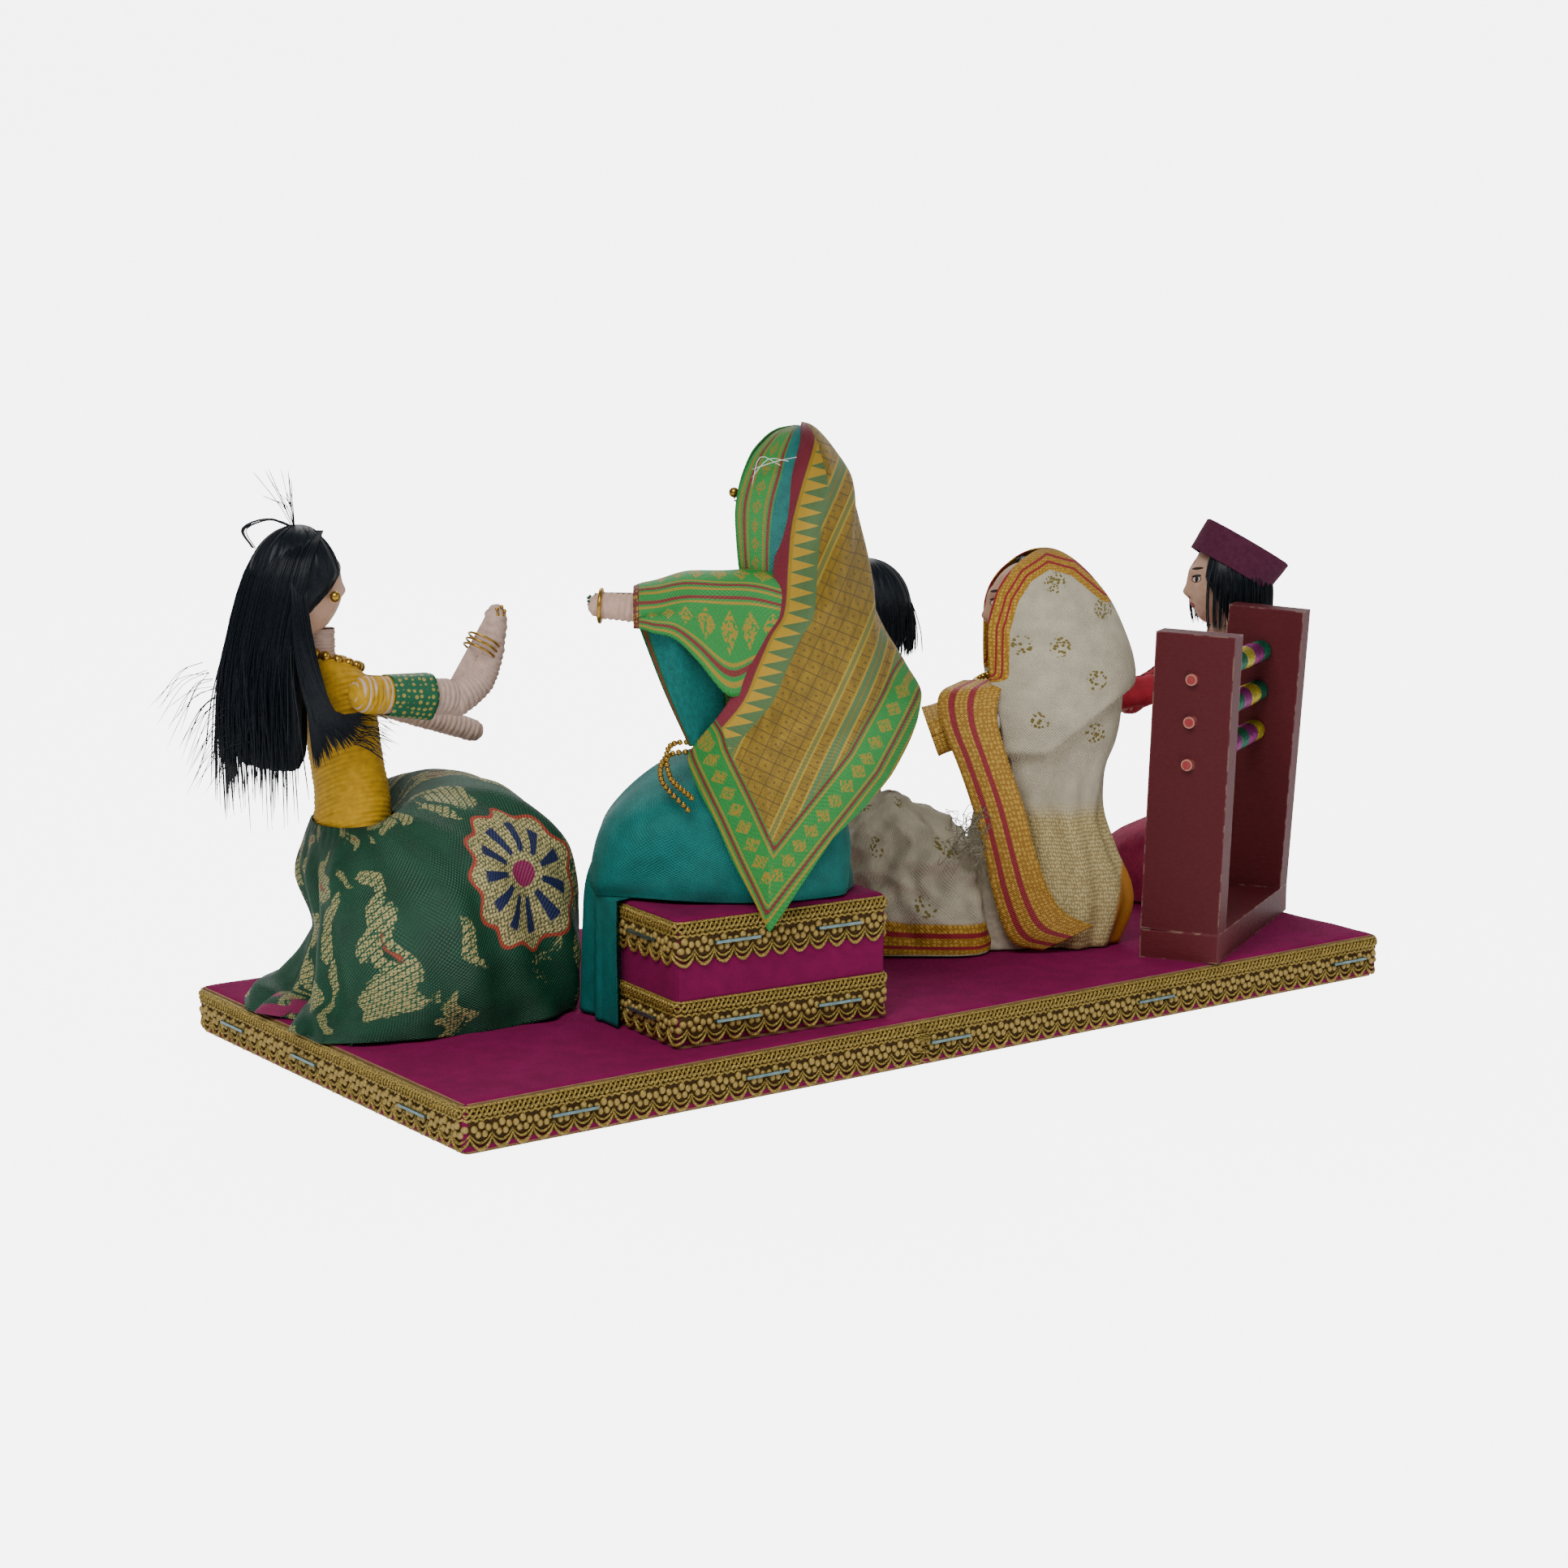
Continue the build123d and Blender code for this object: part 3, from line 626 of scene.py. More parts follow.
def foil_roll(name, colours):
    """A roll of thin foil bangles on its rod, ring beside ring."""
    points = [v.co / MM for v in frame["nodes"][name].data.vertices]
    centre = sum(points, Vector()) / len(points)
    joint = next(j for j in frame["joints"] if j["child"] == name)
    axis = Vector(joint["axis"]).normalized()
    half = max(abs((p - centre).dot(axis)) for p in points)
    outer = max(((p - centre) - axis * (p - centre).dot(axis)).length for p in points)
    inner = min(((p - centre) - axis * (p - centre).dot(axis)).length for p in points)
    side = axis.orthogonal().normalized()
    across = axis.cross(side)
    rows, ring = 300, 1.15
    length = 2 * half

    def shape(u, v):
        angle = 2 * math.pi * u
        if v <= 0.8:
            along = -half + length * v / 0.8
            turn = (along + half) / ring
            edge = min(along + half, half - along)
            lump = noise.noise(Vector((math.floor(turn) * 2.3, math.cos(angle) * 1.3,
                                       math.sin(angle))))
            r = outer - 0.42 + 0.3 * abs(math.sin(math.pi * turn)) ** 0.6 + 0.16 * lump
            r = min(r, outer) - max(0.0, 0.4 - edge)
        else:
            along = half - length * (v - 0.8) / 0.2
            r = inner + 0.02
        return centre + axis * along + (side * math.cos(angle) + across * math.sin(angle)) * r

    bm = sheet_mesh(shape, 40, rows, lambda u, v: (u * 20, min(v / 0.8, 1.0)), closed=True)
    edges = [e for e in bm.edges if e.is_boundary]
    bmesh.ops.bridge_loops(bm, edges=edges)
    stops = [(i / len(colours), c) for i, c in enumerate(colours)]

    def colour(tree):
        bands = ramp(tree, map_xy(tree)[1], stops, "CONSTANT")
        return mix(tree, 0.55, bands, speckle(tree, 1.0, "505050", "FFFFFF", 4.0), "MULTIPLY")
    finish = material(name + " crinkled foil", colour, 0.3, 0.75, bump=grain(0.7), bump_mm=0.25)
    piece(bm, name + "_roll", finish, body=name, replaces=name)


def build_rack(look):
    red = chipped_paint("rack brown-red paint", look.rack_paint, "6E363C", "9A8070")
    # The plate is the same paint in a lighter copy: painted light, where light falls on its upward face.
    dress(("rack_upright_near", "rack_upright_far"), red)
    dress(("rack_plate",), chipped_paint("rack plate paint in painted light", shade(look.rack_paint, 1.15), "743A40",
                                         "A08870"))
    dress(("rack_rods",), chipped_paint("rod paint, rubbed at the tips", "A03038", "A08070",
                                        "C8A888", 0.3))
    for name, colours in ROLLS:
        foil_roll(name, colours)


# ---- what the dolls share ---------------------------------------------------------------

GIRL = doll_place(-128.0, 25.0, BOARD_TOP, 0.0)
BRIDE = doll_place(-44.5, -44.0, 45.5, 145.0)
AUNT = doll_place(60.0, -18.0, BOARD_TOP, 145.0)
SELLER = doll_place(145.0, 1.5, BOARD_TOP, 150.0)
FRIEND = doll_place(43.0, 38.0, BOARD_TOP, 145.0)
HEAD_RADIUS, HEAD_HEIGHT = 11.0, 13.2


def blend_rows(sections, z):
    """The section at height z, between the sections listed from the bottom up."""
    return [curve([(s[2], s[i]) for s in sections], z) for i in range(5)]


def body_shape(sections, offset):
    """A soft body lofted through level ellipses (x, y, z, half depth, half width)."""
    low, high = sections[0][2], sections[-1][2]

    def shape(u, v):
        z = low + (high - low) * v
        x, y, _, rx, ry = blend_rows(sections, z)
        angle = 2 * math.pi * u
        more = offset(angle, z)
        return Vector((x + (rx + more) * math.cos(angle), y + (ry + more) * math.sin(angle), z))
    return shape


def solid_body(sections, offset, rows, sides):
    """A closed soft body, mapped in millimetres."""
    around = math.pi * max(s[3] + s[4] for s in sections)
    tall = sections[-1][2] - sections[0][2]
    bm = sheet_mesh(body_shape(sections, offset), sides, rows, lambda u, v: (u * around, v * tall),
                    closed=True)
    bmesh.ops.holes_fill(bm, edges=[e for e in bm.edges if e.is_boundary], sides=0)
    return bm


def floss(thread, depth, slant=2.0, seed=0):
    """Thread wound round a body at a slant, a little uneven."""
    def offset(angle, z):
        turn = (z + slant * math.sin(angle + seed)) / thread
        lump = noise.noise(Vector((math.floor(turn) * 1.9, seed, math.cos(angle) * 1.5)))
        return depth * abs(math.sin(math.pi * turn)) - depth + 0.3 * lump
    return offset


def limb_piece(name, start, end, r_start, r_end, finish, place, body=ROOT, replaces=None,
               thread=1.5, depth=0.34, via=(), seed=1):
    """An arm wound with thread, rounded at both ends, that may bend through points between."""
    start, end = Vector(start), Vector(end)
    stops = [start, *map(Vector, via), end]
    first = start - (stops[1] - start).normalized() * r_start
    last = end + (end - stops[-2]).normalized() * r_end
    path = [first, *(stops[1:-1] or [(first + last) / 2]), last]
    total = sum((b - a).length for a, b in zip(path, path[1:]))

    def radius(t):
        run = t * total
        if run < r_start:
            return max(0.15, math.sqrt(max(r_start ** 2 - (r_start - run) ** 2, 0)))
        if total - run < r_end:
            return max(0.15, math.sqrt(max(r_end ** 2 - (r_end - total + run) ** 2, 0)))
        return r_start + (r_end - r_start) * t
    ridge = wound(thread, depth, 0.25, seed)

    def wound_radius(t, angle):
        r = radius(t)
        return max(r + (ridge(t * total, angle) - depth) * min(1, r / 2), 0.1)
    bm = tube_mesh(path, wound_radius, max(16, int(total / thread * 5)), 28)
    return piece(bm, name, finish, place, body, replaces)


def neck_piece(doll, x, low, high, finish, place):
    """A straight neck wound with thread, its wire inside."""
    piece(wound_mesh([(x, 0, low), (x, 0, high)], ((0, 3.7), (1, 3.7)), 0.9, 0.2), doll + "_neck",
          finish, place)


def cloth_piece(shape, nu, nv, name, finish, place, body=ROOT, replaces=None,
                thickness=0.4, uv=None, closed=False, charts=None):
    """A sheet of cloth laid on shape(u, v), whose flat size is measured along its threads."""
    def length_of(points):
        return sum((b - a).length for a, b in zip(points, points[1:]))
    wide = max(length_of([shape(i / nu, j / 12) for i in range(nu + 1)]) for j in range(13))
    long = max(length_of([shape(i / 12, j / nv) for j in range(nv + 1)]) for i in range(13))
    bm = sheet_mesh(shape, nu, nv, uv or (lambda u, v: (u * wide, v * long)), closed, charts)
    area = sum(face.calc_area() for face in bm.faces)
    obj = piece(bm, name, finish, place, body, replaces, thickness)


def skin_finish(name, dark="C49A84", lit="E0C0B0"):
    """Cotton thread dyed skin colour, wound on wire."""
    return mottled(name, 1.6, dark, lit, 0.75, detail=5.0, bump=grain(0.3, (1, 1, 4)), bump_mm=0.1)


def floss_finish(name, dark, lit, roughness=0.6, detail=4.0, bump_mm=0.12):
    """Glossy embroidery floss wound round a body."""
    return mottled(name, 2.0, dark, lit, roughness, detail=detail, bump=grain(0.3, (1, 1, 4)),
                   bump_mm=bump_mm)


def gilt_finish(name, dark, lit, roughness=0.28, metallic=0.9, size_mm=0.8):
    """Small gilt beads, tarnished in places."""
    return mottled(name, size_mm, dark, lit, roughness, metallic)


def spot(tree, x, y, cx, cy, rx, ry, tilt=0.0):
    """1 inside an ellipse on the cloth or face map, with a soft edge."""
    dx = add(tree, "Math.SUBTRACT", (x, cx))
    dy = add(tree, "Math.SUBTRACT", (add(tree, "Math.MULTIPLY_ADD", (dx, -tilt, y)), cy))
    px, py = (add(tree, "Math.POWER", (add(tree, "Math.ABSOLUTE", (add(tree, "Math.DIVIDE", pair),)), 2.0))
              for pair in ((dx, rx), (dy, ry)))
    return add(tree, "MapRange", {"Value": add(tree, "Math.ADD", (px, py)), "From Min": 1.15,
                                  "From Max": 0.85})


def painted_face(name, skin_dark, skin_lit):
    """A painted cloth face: brows, eyes, lips and a red mark on the brow."""
    def colour(tree):
        x, y = map_xy(tree)
        x = add(tree, "Math.ABSOLUTE", (x,))
        value = speckle(tree, 3.0, skin_dark, skin_lit, 4.0)
        for cx, cy, rx, ry, tilt, tone in (
                (4.3, 2.1, 2.6, 1.15, 0.1, "7A5040"), (4.2, 2.1, 1.9, 0.8, 0.12, "DCD2C8"),
                (4.0, 2.1, 0.95, 0.95, 0, "1A1210"), (4.3, 3.05, 2.6, 0.4, 0.15, "15100E"),
                (4.4, 5.3, 2.8, 0.42, 0.12, "2A1A14"), (0, -6.0, 2.4, 0.95, 0, "9A3038"),
                (0, 6.8, 0.8, 0.8, 0, "A01828"), (1.1, -3.7, 0.5, 0.3, 0, "6A4030")):
            value = mix(tree, spot(tree, x, y, cx, cy, rx, ry, tilt), value, tone)
        return value
    return material(name, colour, 0.5, bump=grain(0.5), bump_mm=0.03)


def head_mesh(centre):
    """A doll's head that faces along x, mapped in millimetres round and up its face."""
    def hill(d, width):
        return math.exp(-(d / width) ** 2)

    def shape(u, v):
        turn, rise = (u - 0.5) * 2 * math.pi, (v - 0.5) * math.pi
        z = math.sin(rise) * HEAD_HEIGHT
        r = math.cos(rise) * HEAD_RADIUS
        front = hill(turn, 1.0)
        nose = (1.9 * hill(turn, 0.17) * hill(z + 2.2, 1.9) + 0.9 * hill(turn, 0.13) * hill(z - 1.6, 3.2))
        lips = 0.75 * hill(turn, 0.22) * (hill(z + 5.5, 0.7) + hill(z + 6.9, 0.8))
        chin = 1.1 * hill(turn, 0.3) * hill(z + 10.3, 1.8)
        brow = 0.5 * hill(z - 4.8, 1.6) * front
        eyes = -0.8 * hill(abs(turn) - 0.38, 0.2) * hill(z - 2.1, 1.6)
        jaw = -0.13 * max(-z - 3, 0) * (1 - 0.5 * front)
        r += (nose + lips + chin + brow + eyes) * (math.cos(rise) ** 0.3) + jaw
        return Vector((centre[0] + r * math.cos(turn) * 0.97, centre[1] + r * math.sin(turn) * 0.93,
                       centre[2] + z))

    def chart(u, v):
        turn, rise = (u - 0.5) * 2 * math.pi, (v - 0.5) * math.pi
        return turn * HEAD_RADIUS, math.sin(rise) * HEAD_HEIGHT
    bm = sheet_mesh(shape, 120, 90, chart)
    bmesh.ops.remove_doubles(bm, verts=bm.verts, dist=0.0005)
    return bm


def ribbed_hair(sections, ribs):
    """A mass of combed hair: a soft body with fine grooves that run down it."""
    def offset(angle, z):
        lock = noise.noise(Vector((math.cos(angle) * 5, math.sin(angle) * 5, z * 0.02)))
        fine = noise.noise(Vector((math.cos(angle) * 22, math.sin(angle) * 22, z * 0.03)))
        return ribs * (1.6 * lock + fine) - ribs
    return solid_body(sections, offset, 70, 110)


def cap_of_hair(centre, hairline, seed=0, thick=1.9, low=-9.0):
    """Combed hair over a head, open at the face; hairline(z) is the turn where it starts."""
    def shape(u, v):
        z = low + (HEAD_HEIGHT + thick - low) * math.sin(v * math.pi / 2)
        start = hairline(z) * (1 - max(v - 0.75, 0) * 3.9)
        turn = start + (2 * math.pi - 2 * start) * u
        tall = HEAD_HEIGHT + thick
        r = (HEAD_RADIUS + thick) * math.sqrt(max(1 - (z / tall) ** 2, 0.0))
        lift = 0.3 * noise.noise(Vector((turn * 9, z * 0.05, seed))) \
            + 0.22 * noise.noise(Vector((turn * 30, z * 0.06, seed + 5)))
        edge = min(u, 1 - u) * 14
        r = max(r + lift * 1.6 - 1.3 * max(0.0, 1 - edge), 0.0)
        return Vector((centre[0] + r * math.cos(turn), centre[1] + r * math.sin(turn) * 0.95,
                       centre[2] + z))
    return sheet_mesh(shape, 130, 40, closed=True)


def hair_finish(name):
    """Black rayon hair with a cool sheen."""
    return mottled(name, 0.7, "07090C", "1A222A", 0.36, detail=3.0, Anisotropic=0.6)


def pearls_on_ring(centre, radius, count, tilt):
    """Bead places round a neck, tipped forwards."""
    places = []
    for i in range(count):
        angle = 2 * math.pi * i / count
        x, y = radius * math.cos(angle), radius * 0.9 * math.sin(angle)
        places.append((centre[0] + x, centre[1] + y, centre[2] - x * tilt))
    return places


def zari(tree, cell, ground, figure, size):
    """Woven metal-thread figures scattered on a coloured ground, on the cloth's own map."""
    place = add(tree, "TexCoord>UV")
    cells = add(tree, "TexVoronoi>Distance", {"Vector": place, "Scale": 1 / cell,
                                              "Randomness": 0.35})
    ring = add(tree, "Math.PINGPONG", (cells, size * 0.55))
    mask = add(tree, "MapRange", {"Value": cells, "From Min": size, "From Max": size * 0.8})
    veins = add(tree, "MapRange", {"Value": ring, "From Min": size * 0.08, "From Max": size * 0.22})
    both = add(tree, "Math.MULTIPLY", (mask, veins))
    return mix(tree, both, ground, figure)


def band(tree, value, low, high, soft=0.15):
    """1 where value lies between low and high."""
    up = add(tree, "MapRange", {"Value": value, "From Min": low - soft, "From Max": low + soft})
    down = add(tree, "MapRange", {"Value": value, "From Min": high + soft, "From Max": high - soft})
    return add(tree, "Math.MULTIPLY", (up, down))


def threads_at(rng, count, start, spread, reach, droop):
    """Loose thread paths from places round start, pointing along reach."""
    paths = []
    for _ in range(count):
        a = Vector(start(rng.random()))
        push = Vector([reach[i] + rng.uniform(-spread, spread) for i in range(3)])
        paths.append([a, a + push * 0.5 + Vector((0, 0, droop * 0.2)),
                      a + push + Vector((0, 0, -droop * rng.random()))])
    return paths


# ---- the girl ---------------------------------------------------------------------------

def build_girl(look):
    head = (-13.0, 0.0, 111.0)
    yellow = floss_finish("yellow floss", shade(look.girl_yellow, 0.5), look.girl_yellow, detail=5.0)
    skin = skin_finish("skin thread of the girl", shade(look.skin, 0.62), look.skin)
    torso = ((0, 0, 48, 9.7, 11.7), (0, 0, 56, 9.3, 11.3), (-2, 0, 70, 8.8, 11.8),
             (-4, 0, 86, 7.8, 12.2), (-7, 0, 92.5, 5.3, 6.8))
    piece(solid_body(torso, floss(1.3, 0.35, 5.0), 150, 90), "girl_torso_floss", yellow, GIRL,
          replaces="girl_torso")
    neck_piece("girl", -8, 91, 99.8, skin, GIRL)
    piece(head_mesh(head), "girl_face", painted_face("girl face paint", "C89A80", "DDB8A0"), GIRL,
          "girl_head", "girl_head")
    hair = hair_finish("girl hair")
    mass = ribbed_hair(((-22.5, 1, 66, 5.5, 12.5), (-22.5, 1, 70, 7.2, 14.5),
                        (-22.5, 1, 80, 7.6, 15.8), (-21.5, 1, 98, 8, 14), (-19, 1, 111, 8, 12.5),
                        (-17, 0, 119, 6.5, 9.5), (-16, 0, 124, 3, 4)), 0.8)
    line = lambda z: 0.95 if z > 4 else 0.95 + 0.09 * (4 - z)
    piece(cap_of_hair(head, line, 1), "girl_hair_cap", hair, GIRL, "girl_head",
          thickness=0.5)
    rng = random.Random(11)
    paths = []
    for _ in range(look.strands):
        turn = rng.uniform(-1, 1)
        z_end = rng.uniform(52, 64) if rng.random() < 0.25 else rng.uniform(60, 72)
        out = rng.uniform(0.2, 1.5)
        y = math.sin(turn * 1.6) * 15
        back = math.cos(turn * 1.6)
        stray = rng.random() < 0.12
        drift = rng.uniform(-4.5, 1.0) if stray else rng.uniform(-1.6, 1.2)
        sway = rng.gauss(0, 2.6 if stray else 1.3)
        paths.append([(-9 - 3 * back, y * 0.35, 125.3 - 0.4 * abs(turn)),
                      (-16 - 8 * back, y * 0.8, 117 + out),
                      (-21.0 - 8.5 * back - out, y * 0.95 + 1, 98),
                      (-22.5 - 9 * back - out + drift * 0.5, y + 1 + sway, 82),
                      (-22.5 - 8.5 * back - out + drift, y * 0.95 + 1 + sway * 2,
                       z_end + rng.uniform(-3, 9))])
    for _ in range(look.strands // 2):
        # The lock that lies over the near shoulder blade and fans out across the waist.
        r, w = rng.random(), rng.random()
        paths.append([(-15 - 4 * r, -6 - 2 * w, 121.5), (-18 - 4 * r, -12.4 - w, 109),
                      (-20 - 3 * r + 3 * w, -15.4 - w, 94), (-20 + 7 * w, -16.2 - w, 81),
                      (-19 + 15 * w + 3 * r, -16.0 - r, 66 + 7 * w + 8 * r)])
    loop = []
    for _ in range(16):
        w, tall = rng.uniform(-1.2, 1.2), rng.uniform(0.8, 1.1)
        loop.append([(-25, w + 1, 121), (-27, w * 1.3 + 2.0, 125 + 0.8 * tall),
                     (-20 + rng.uniform(-1, 1), w + 2, 126.5 + 1.4 * tall), (-14, w * 1.3, 125.5)])
    for _ in range(14):
        x, y = rng.uniform(-8, 3), rng.uniform(-5, 5)
        loop.append([(-14, 0, 124), (-15 + x * 0.3, y * 0.4, 131), (-16 + x, y, rng.uniform(133, 141))])
    loose = threads_at(rng, 34, lambda r: (-31 - 3 * r, -8 + 22 * r, 72 + 20 * r), 4, (-9, 5, -9), 7)
    loose += threads_at(rng, 30, lambda r: (-8 + 6 * r, -16.4, 72 + 8 * r), 2.5, (7, -0.5, -3), 2)
    piece(mass, "girl_hair_mass", hair, GIRL, "girl_head", "girl_hair")
    piece(strands_mesh(paths, look.hair_radius / MM, 16), "girl_hair_strands", hair, GIRL, "girl_head")
    piece(strands_mesh(loop, 0.1, 14), "girl_hair_loop", hair, GIRL, "girl_head")
    piece(strands_mesh(loose, 0.09, 6), "girl_stray_hairs", hair, GIRL, "girl_head")
    gilt = gilt_finish("gilt bead", "8A6420", "D8B050")
    dress(("girl_earrings", "girl_bangles", "bride_finger_beads"), gilt)
    piece(beads_mesh(pearls_on_ring((-4.6, 0, 91.6), 6.9, 14, 0.35), 1.55), "girl_bead_necklace",
          gilt, GIRL, replaces="girl_necklace")

    shoulder, elbow, hand = (-4, -17.4, 84.5), (22, -16.6, 81.5), (34.5, -15.6, 101.5)
    limb_piece("girl_upper_arm_thread", shoulder, (18.5, -16.8, 82.0), 4.8, 4.7, skin, GIRL,
               "girl_upper_arm", "girl_upper_arm_right")
    for name, side, body in (("girl_shoulder_right_floss", -1, "girl_upper_arm"),
                             ("girl_shoulder_left_floss", 1, "girl_far_arm")):
        reach = (4.6, side * 17.1, 83.5 if side < 0 else 81.4)
        limb_piece(name, (-4, side * 17.4, 84.5), reach, 4.9, 4.8, yellow, GIRL, body,
                   thread=1.2, seed=7)
    limb_piece("girl_forearm_thread", elbow, hand, 4.7, 3.1, skin, GIRL, "girl_forearm",
               "girl_forearm_right", via=((27.5, -16.4, 84.2), (32.0, -16, 91)), seed=2)
    fingers = [(hand[0] + 1.2 * math.cos(a), hand[1] - 2.4, hand[2] + 1.4 + 1.2 * math.sin(a))
               for a in (0, 1.3, 2.6, 3.9, 5.2)]
    piece(beads_mesh(fingers, 0.6, 1), "girl_finger_beads", gilt, GIRL, "girl_forearm")
    limb_piece("girl_far_arm_thread", (-4, 17.4, 84.5), (44, 14, 67), 4.5, 3.0, skin, GIRL,
               "girl_far_arm", "girl_arm_left", seed=3)
    sleeve = material("green brocade sleeve",
                      lambda t: zari(t, 1.7, shade(look.girl_green, 1.6), "B0A050", 0.36), 0.5, 0.15,
                      bump=weave(0.4), bump_mm=0.08)
    run = Vector(elbow) - Vector(shoulder)
    for name, node, start, along, body in (
            ("girl_sleeve_right_cloth", "girl_sleeve_right", shoulder, run, "girl_upper_arm"),
            ("girl_sleeve_left_cloth", "girl_sleeve_left", (-4, 17.4, 84.5),
             Vector((48, -3.4, -17.5)), "girl_far_arm")):
        along = along.normalized()
        side = along.orthogonal().normalized()
        across = along.cross(side)
        tucked = lambda u, v, start=start, along=along, side=side, across=across: (
            Vector(start) + along * (5.2 + 12 * v)
            + (side * math.cos(TURN * u) + across * math.sin(TURN * u))
            * (5.15 + 0.35 * math.sin(19 * u * 2) * 0.6 + 0.9 * v))
        cloth_piece(tucked, 60, 16, name, sleeve, GIRL, body, node,
                    0.3, closed=True)

    skirt = ring_net([
        [(10, 0, 51), (7.1, 8.8, 51), (0, 12.4, 51), (-7.1, 8.8, 50),
         (-10, 0, 49.5), (-7.1, -8.8, 49.5), (0, -12.4, 50), (7.1, -8.8, 51)],
        [(19, -1, 60), (15, 10, 57), (3, 15.5, 50), (-8.6, 10.2, 45),
         (-11.6, 0, 44), (-8.8, -11, 45), (4, -16, 52), (16, -12.5, 58)],
        [(33, -4, 58), (26, 16, 52), (7, 21, 42), (-10.5, 9.5, 36),
         (-13, 0, 35), (-11, -13, 38), (9, -24, 47), (31, -22, 56)],
        [(47, -4, 44), (36, 24, 36), (11, 29, 30), (-7, 8, 23),
         (-12, -2, 21), (-14, -18, 27), (13, -35, 35), (42, -31, 44)],
        [(52, -4, 24), (40, 27, 18), (14, 34, 14), (-14, 12, 9),
         (-16, -3, 8), (-17, -24, 12), (14, -41, 19), (46, -33, 25)],
        [(53, -4, 9), (42, 29, 7), (15, 38, 6), (-20, 15, 6),
         (-19, -4, 5), (-22, -28, 5), (14, -44, 8), (46, -34, 10)],
        [(52, -4, 0.7), (42, 29, 0.7), (15, 39, 0.7), (-25, 18, 0.8),
         (-22, -4, 0.7), (-26, -30, 0.7), (14, -45, 0.7), (45, -34, 0.7)]])

    def shape(u, v):
        angle = 2 * math.pi * u
        fold = (math.sin(8 * angle + 4.5 * v + 1.6 * math.sin(2 * angle)) * (0.6 + 0.9 * v)
                + 0.45 * math.sin(19 * angle - 8 * v))
        p = skirt(u, v)
        tuck = noise.noise(p * 0.06) * 1.6 + noise.noise(p * 0.14 + Vector((3, 1, 7))) * 0.9
        out = Vector((math.cos(angle), math.sin(angle), 0.25))
        return p + out * (1.6 * fold * math.sin(min(v * 1.3, 1) * 1.57) * min(1, v * 3) + tuck * v
                          + 0.4 * math.sin(41 * angle) * max(0, 0.25 - v) - 1.2 * v)

    def cloth(tree):
        x, y = map_xy(tree)
        place = add(tree, "TexCoord>UV")
        swirl = add(tree, "TexNoise>Color", {"Vector": place, "Scale": 1 / 16, "Detail": 1.0})
        bent = add(tree, "VectorMath.MULTIPLY_ADD", (swirl, (26, 26, 0), place))
        slim = add(tree, "Mapping", {"Vector": bent, "Rotation": (0, 0, 0.45), "Scale": (1.5, 0.62, 1)})
        leaf = add(tree, "TexVoronoi>Distance", {"Vector": slim, "Scale": 1 / 14}, feature="F1")
        step = add(tree, "TexNoise", {"Vector": place, "Scale": 1 / 1.3, "Detail": 2.0})
        leaf = add(tree, "Math.MULTIPLY_ADD", (step, 0.22, add(tree, "Math.SUBTRACT", (leaf, 0.11))))
        inside = band(tree, leaf, 0.14, 0.4, 0.012)
        vein = add(tree, "Math.PINGPONG", (add(tree, "Math.MULTIPLY_ADD", (x, 0.5, y)), 1.1))
        hatch = add(tree, "MapRange", {"Value": vein, "From Min": 0.12, "From Max": 0.3})
        value = speckle(tree, 9.0, shade(look.girl_green, 0.45), look.girl_green, 3.0, "UV")
        value = mix(tree, add(tree, "Math.MULTIPLY", (inside, hatch)), value,
                    zari(tree, 0.9, shade(look.girl_green, 1.2), "B8A86C", 0.55))
        spark = add(tree, "TexNoise", {"Vector": place, "Scale": 1 / 11, "Detail": 0.0})
        value = mix(tree, add(tree, "Math.MULTIPLY", (band(tree, leaf, -1, 0.12, 0.02), band(
            tree, spark, 0.5, 1.0, 0.02))), value, "A0442C")
        # The woven fan by the knee: navy petals on a gold lattice, edged in orange-red.
        dx, dy = add(tree, "Math.SUBTRACT", (x, 232.0)), add(tree, "Math.SUBTRACT", (y, 50.0))
        r = add(tree, "Math.SQRT", (add(tree, "Math.ADD", (
            add(tree, "Math.MULTIPLY", (dx, dx)), add(tree, "Math.MULTIPLY", (dy, dy)))),))
        turn = add(tree, "Math.ARCTAN2", (dy, dx))
        lobes = add(tree, "Math.COSINE", (add(tree, "Math.MULTIPLY", (turn, 11.0)),))
        edge = add(tree, "Math.MULTIPLY_ADD", (lobes, 1.1, 17.0))
        within = add(tree, "MapRange", {"Value": add(tree, "Math.SUBTRACT", (edge, r)),
                                        "From Min": -0.2, "From Max": 0.2})
        core = add(tree, "MapRange", {"Value": add(tree, "Math.SUBTRACT", (edge, r)),
                                      "From Min": 0.9, "From Max": 1.2})
        value = mix(tree, within, value, "A8402C")
        value = mix(tree, core, value, zari(tree, 0.9, "6A6A44", "D0C080", 0.5))
        petals = add(tree, "MapRange", {"Value": lobes, "From Min": 0.2, "From Max": 0.4})
        petals = add(tree, "Math.MULTIPLY", (petals, band(tree, r, 5.0, 13.0, 0.3)))
        value = mix(tree, petals, value, "1A2450")
        value = mix(tree, band(tree, r, -1, 3.0, 0.2), value, "8A1A50")
        back = add(tree, "Math.MULTIPLY", (band(tree, x, 118, 150, 3.0), band(tree, y, 78, 200, 2.0)))
        value = mix(tree, add(tree, "Math.MULTIPLY", (back, band(tree, spark, 0.42, 1, 0.03))), value,
                    "8A1A50")
        return value
    brocade = material("green zari brocade", cloth, 0.48, 0.1, bump=weave(0.55), bump_mm=0.1)
    cloth_piece(shape, 300, 90, "girl_skirt_cloth", brocade, GIRL,
                replaces="girl_skirt",
                thickness=0.35, closed=True)
    rng = random.Random(5)
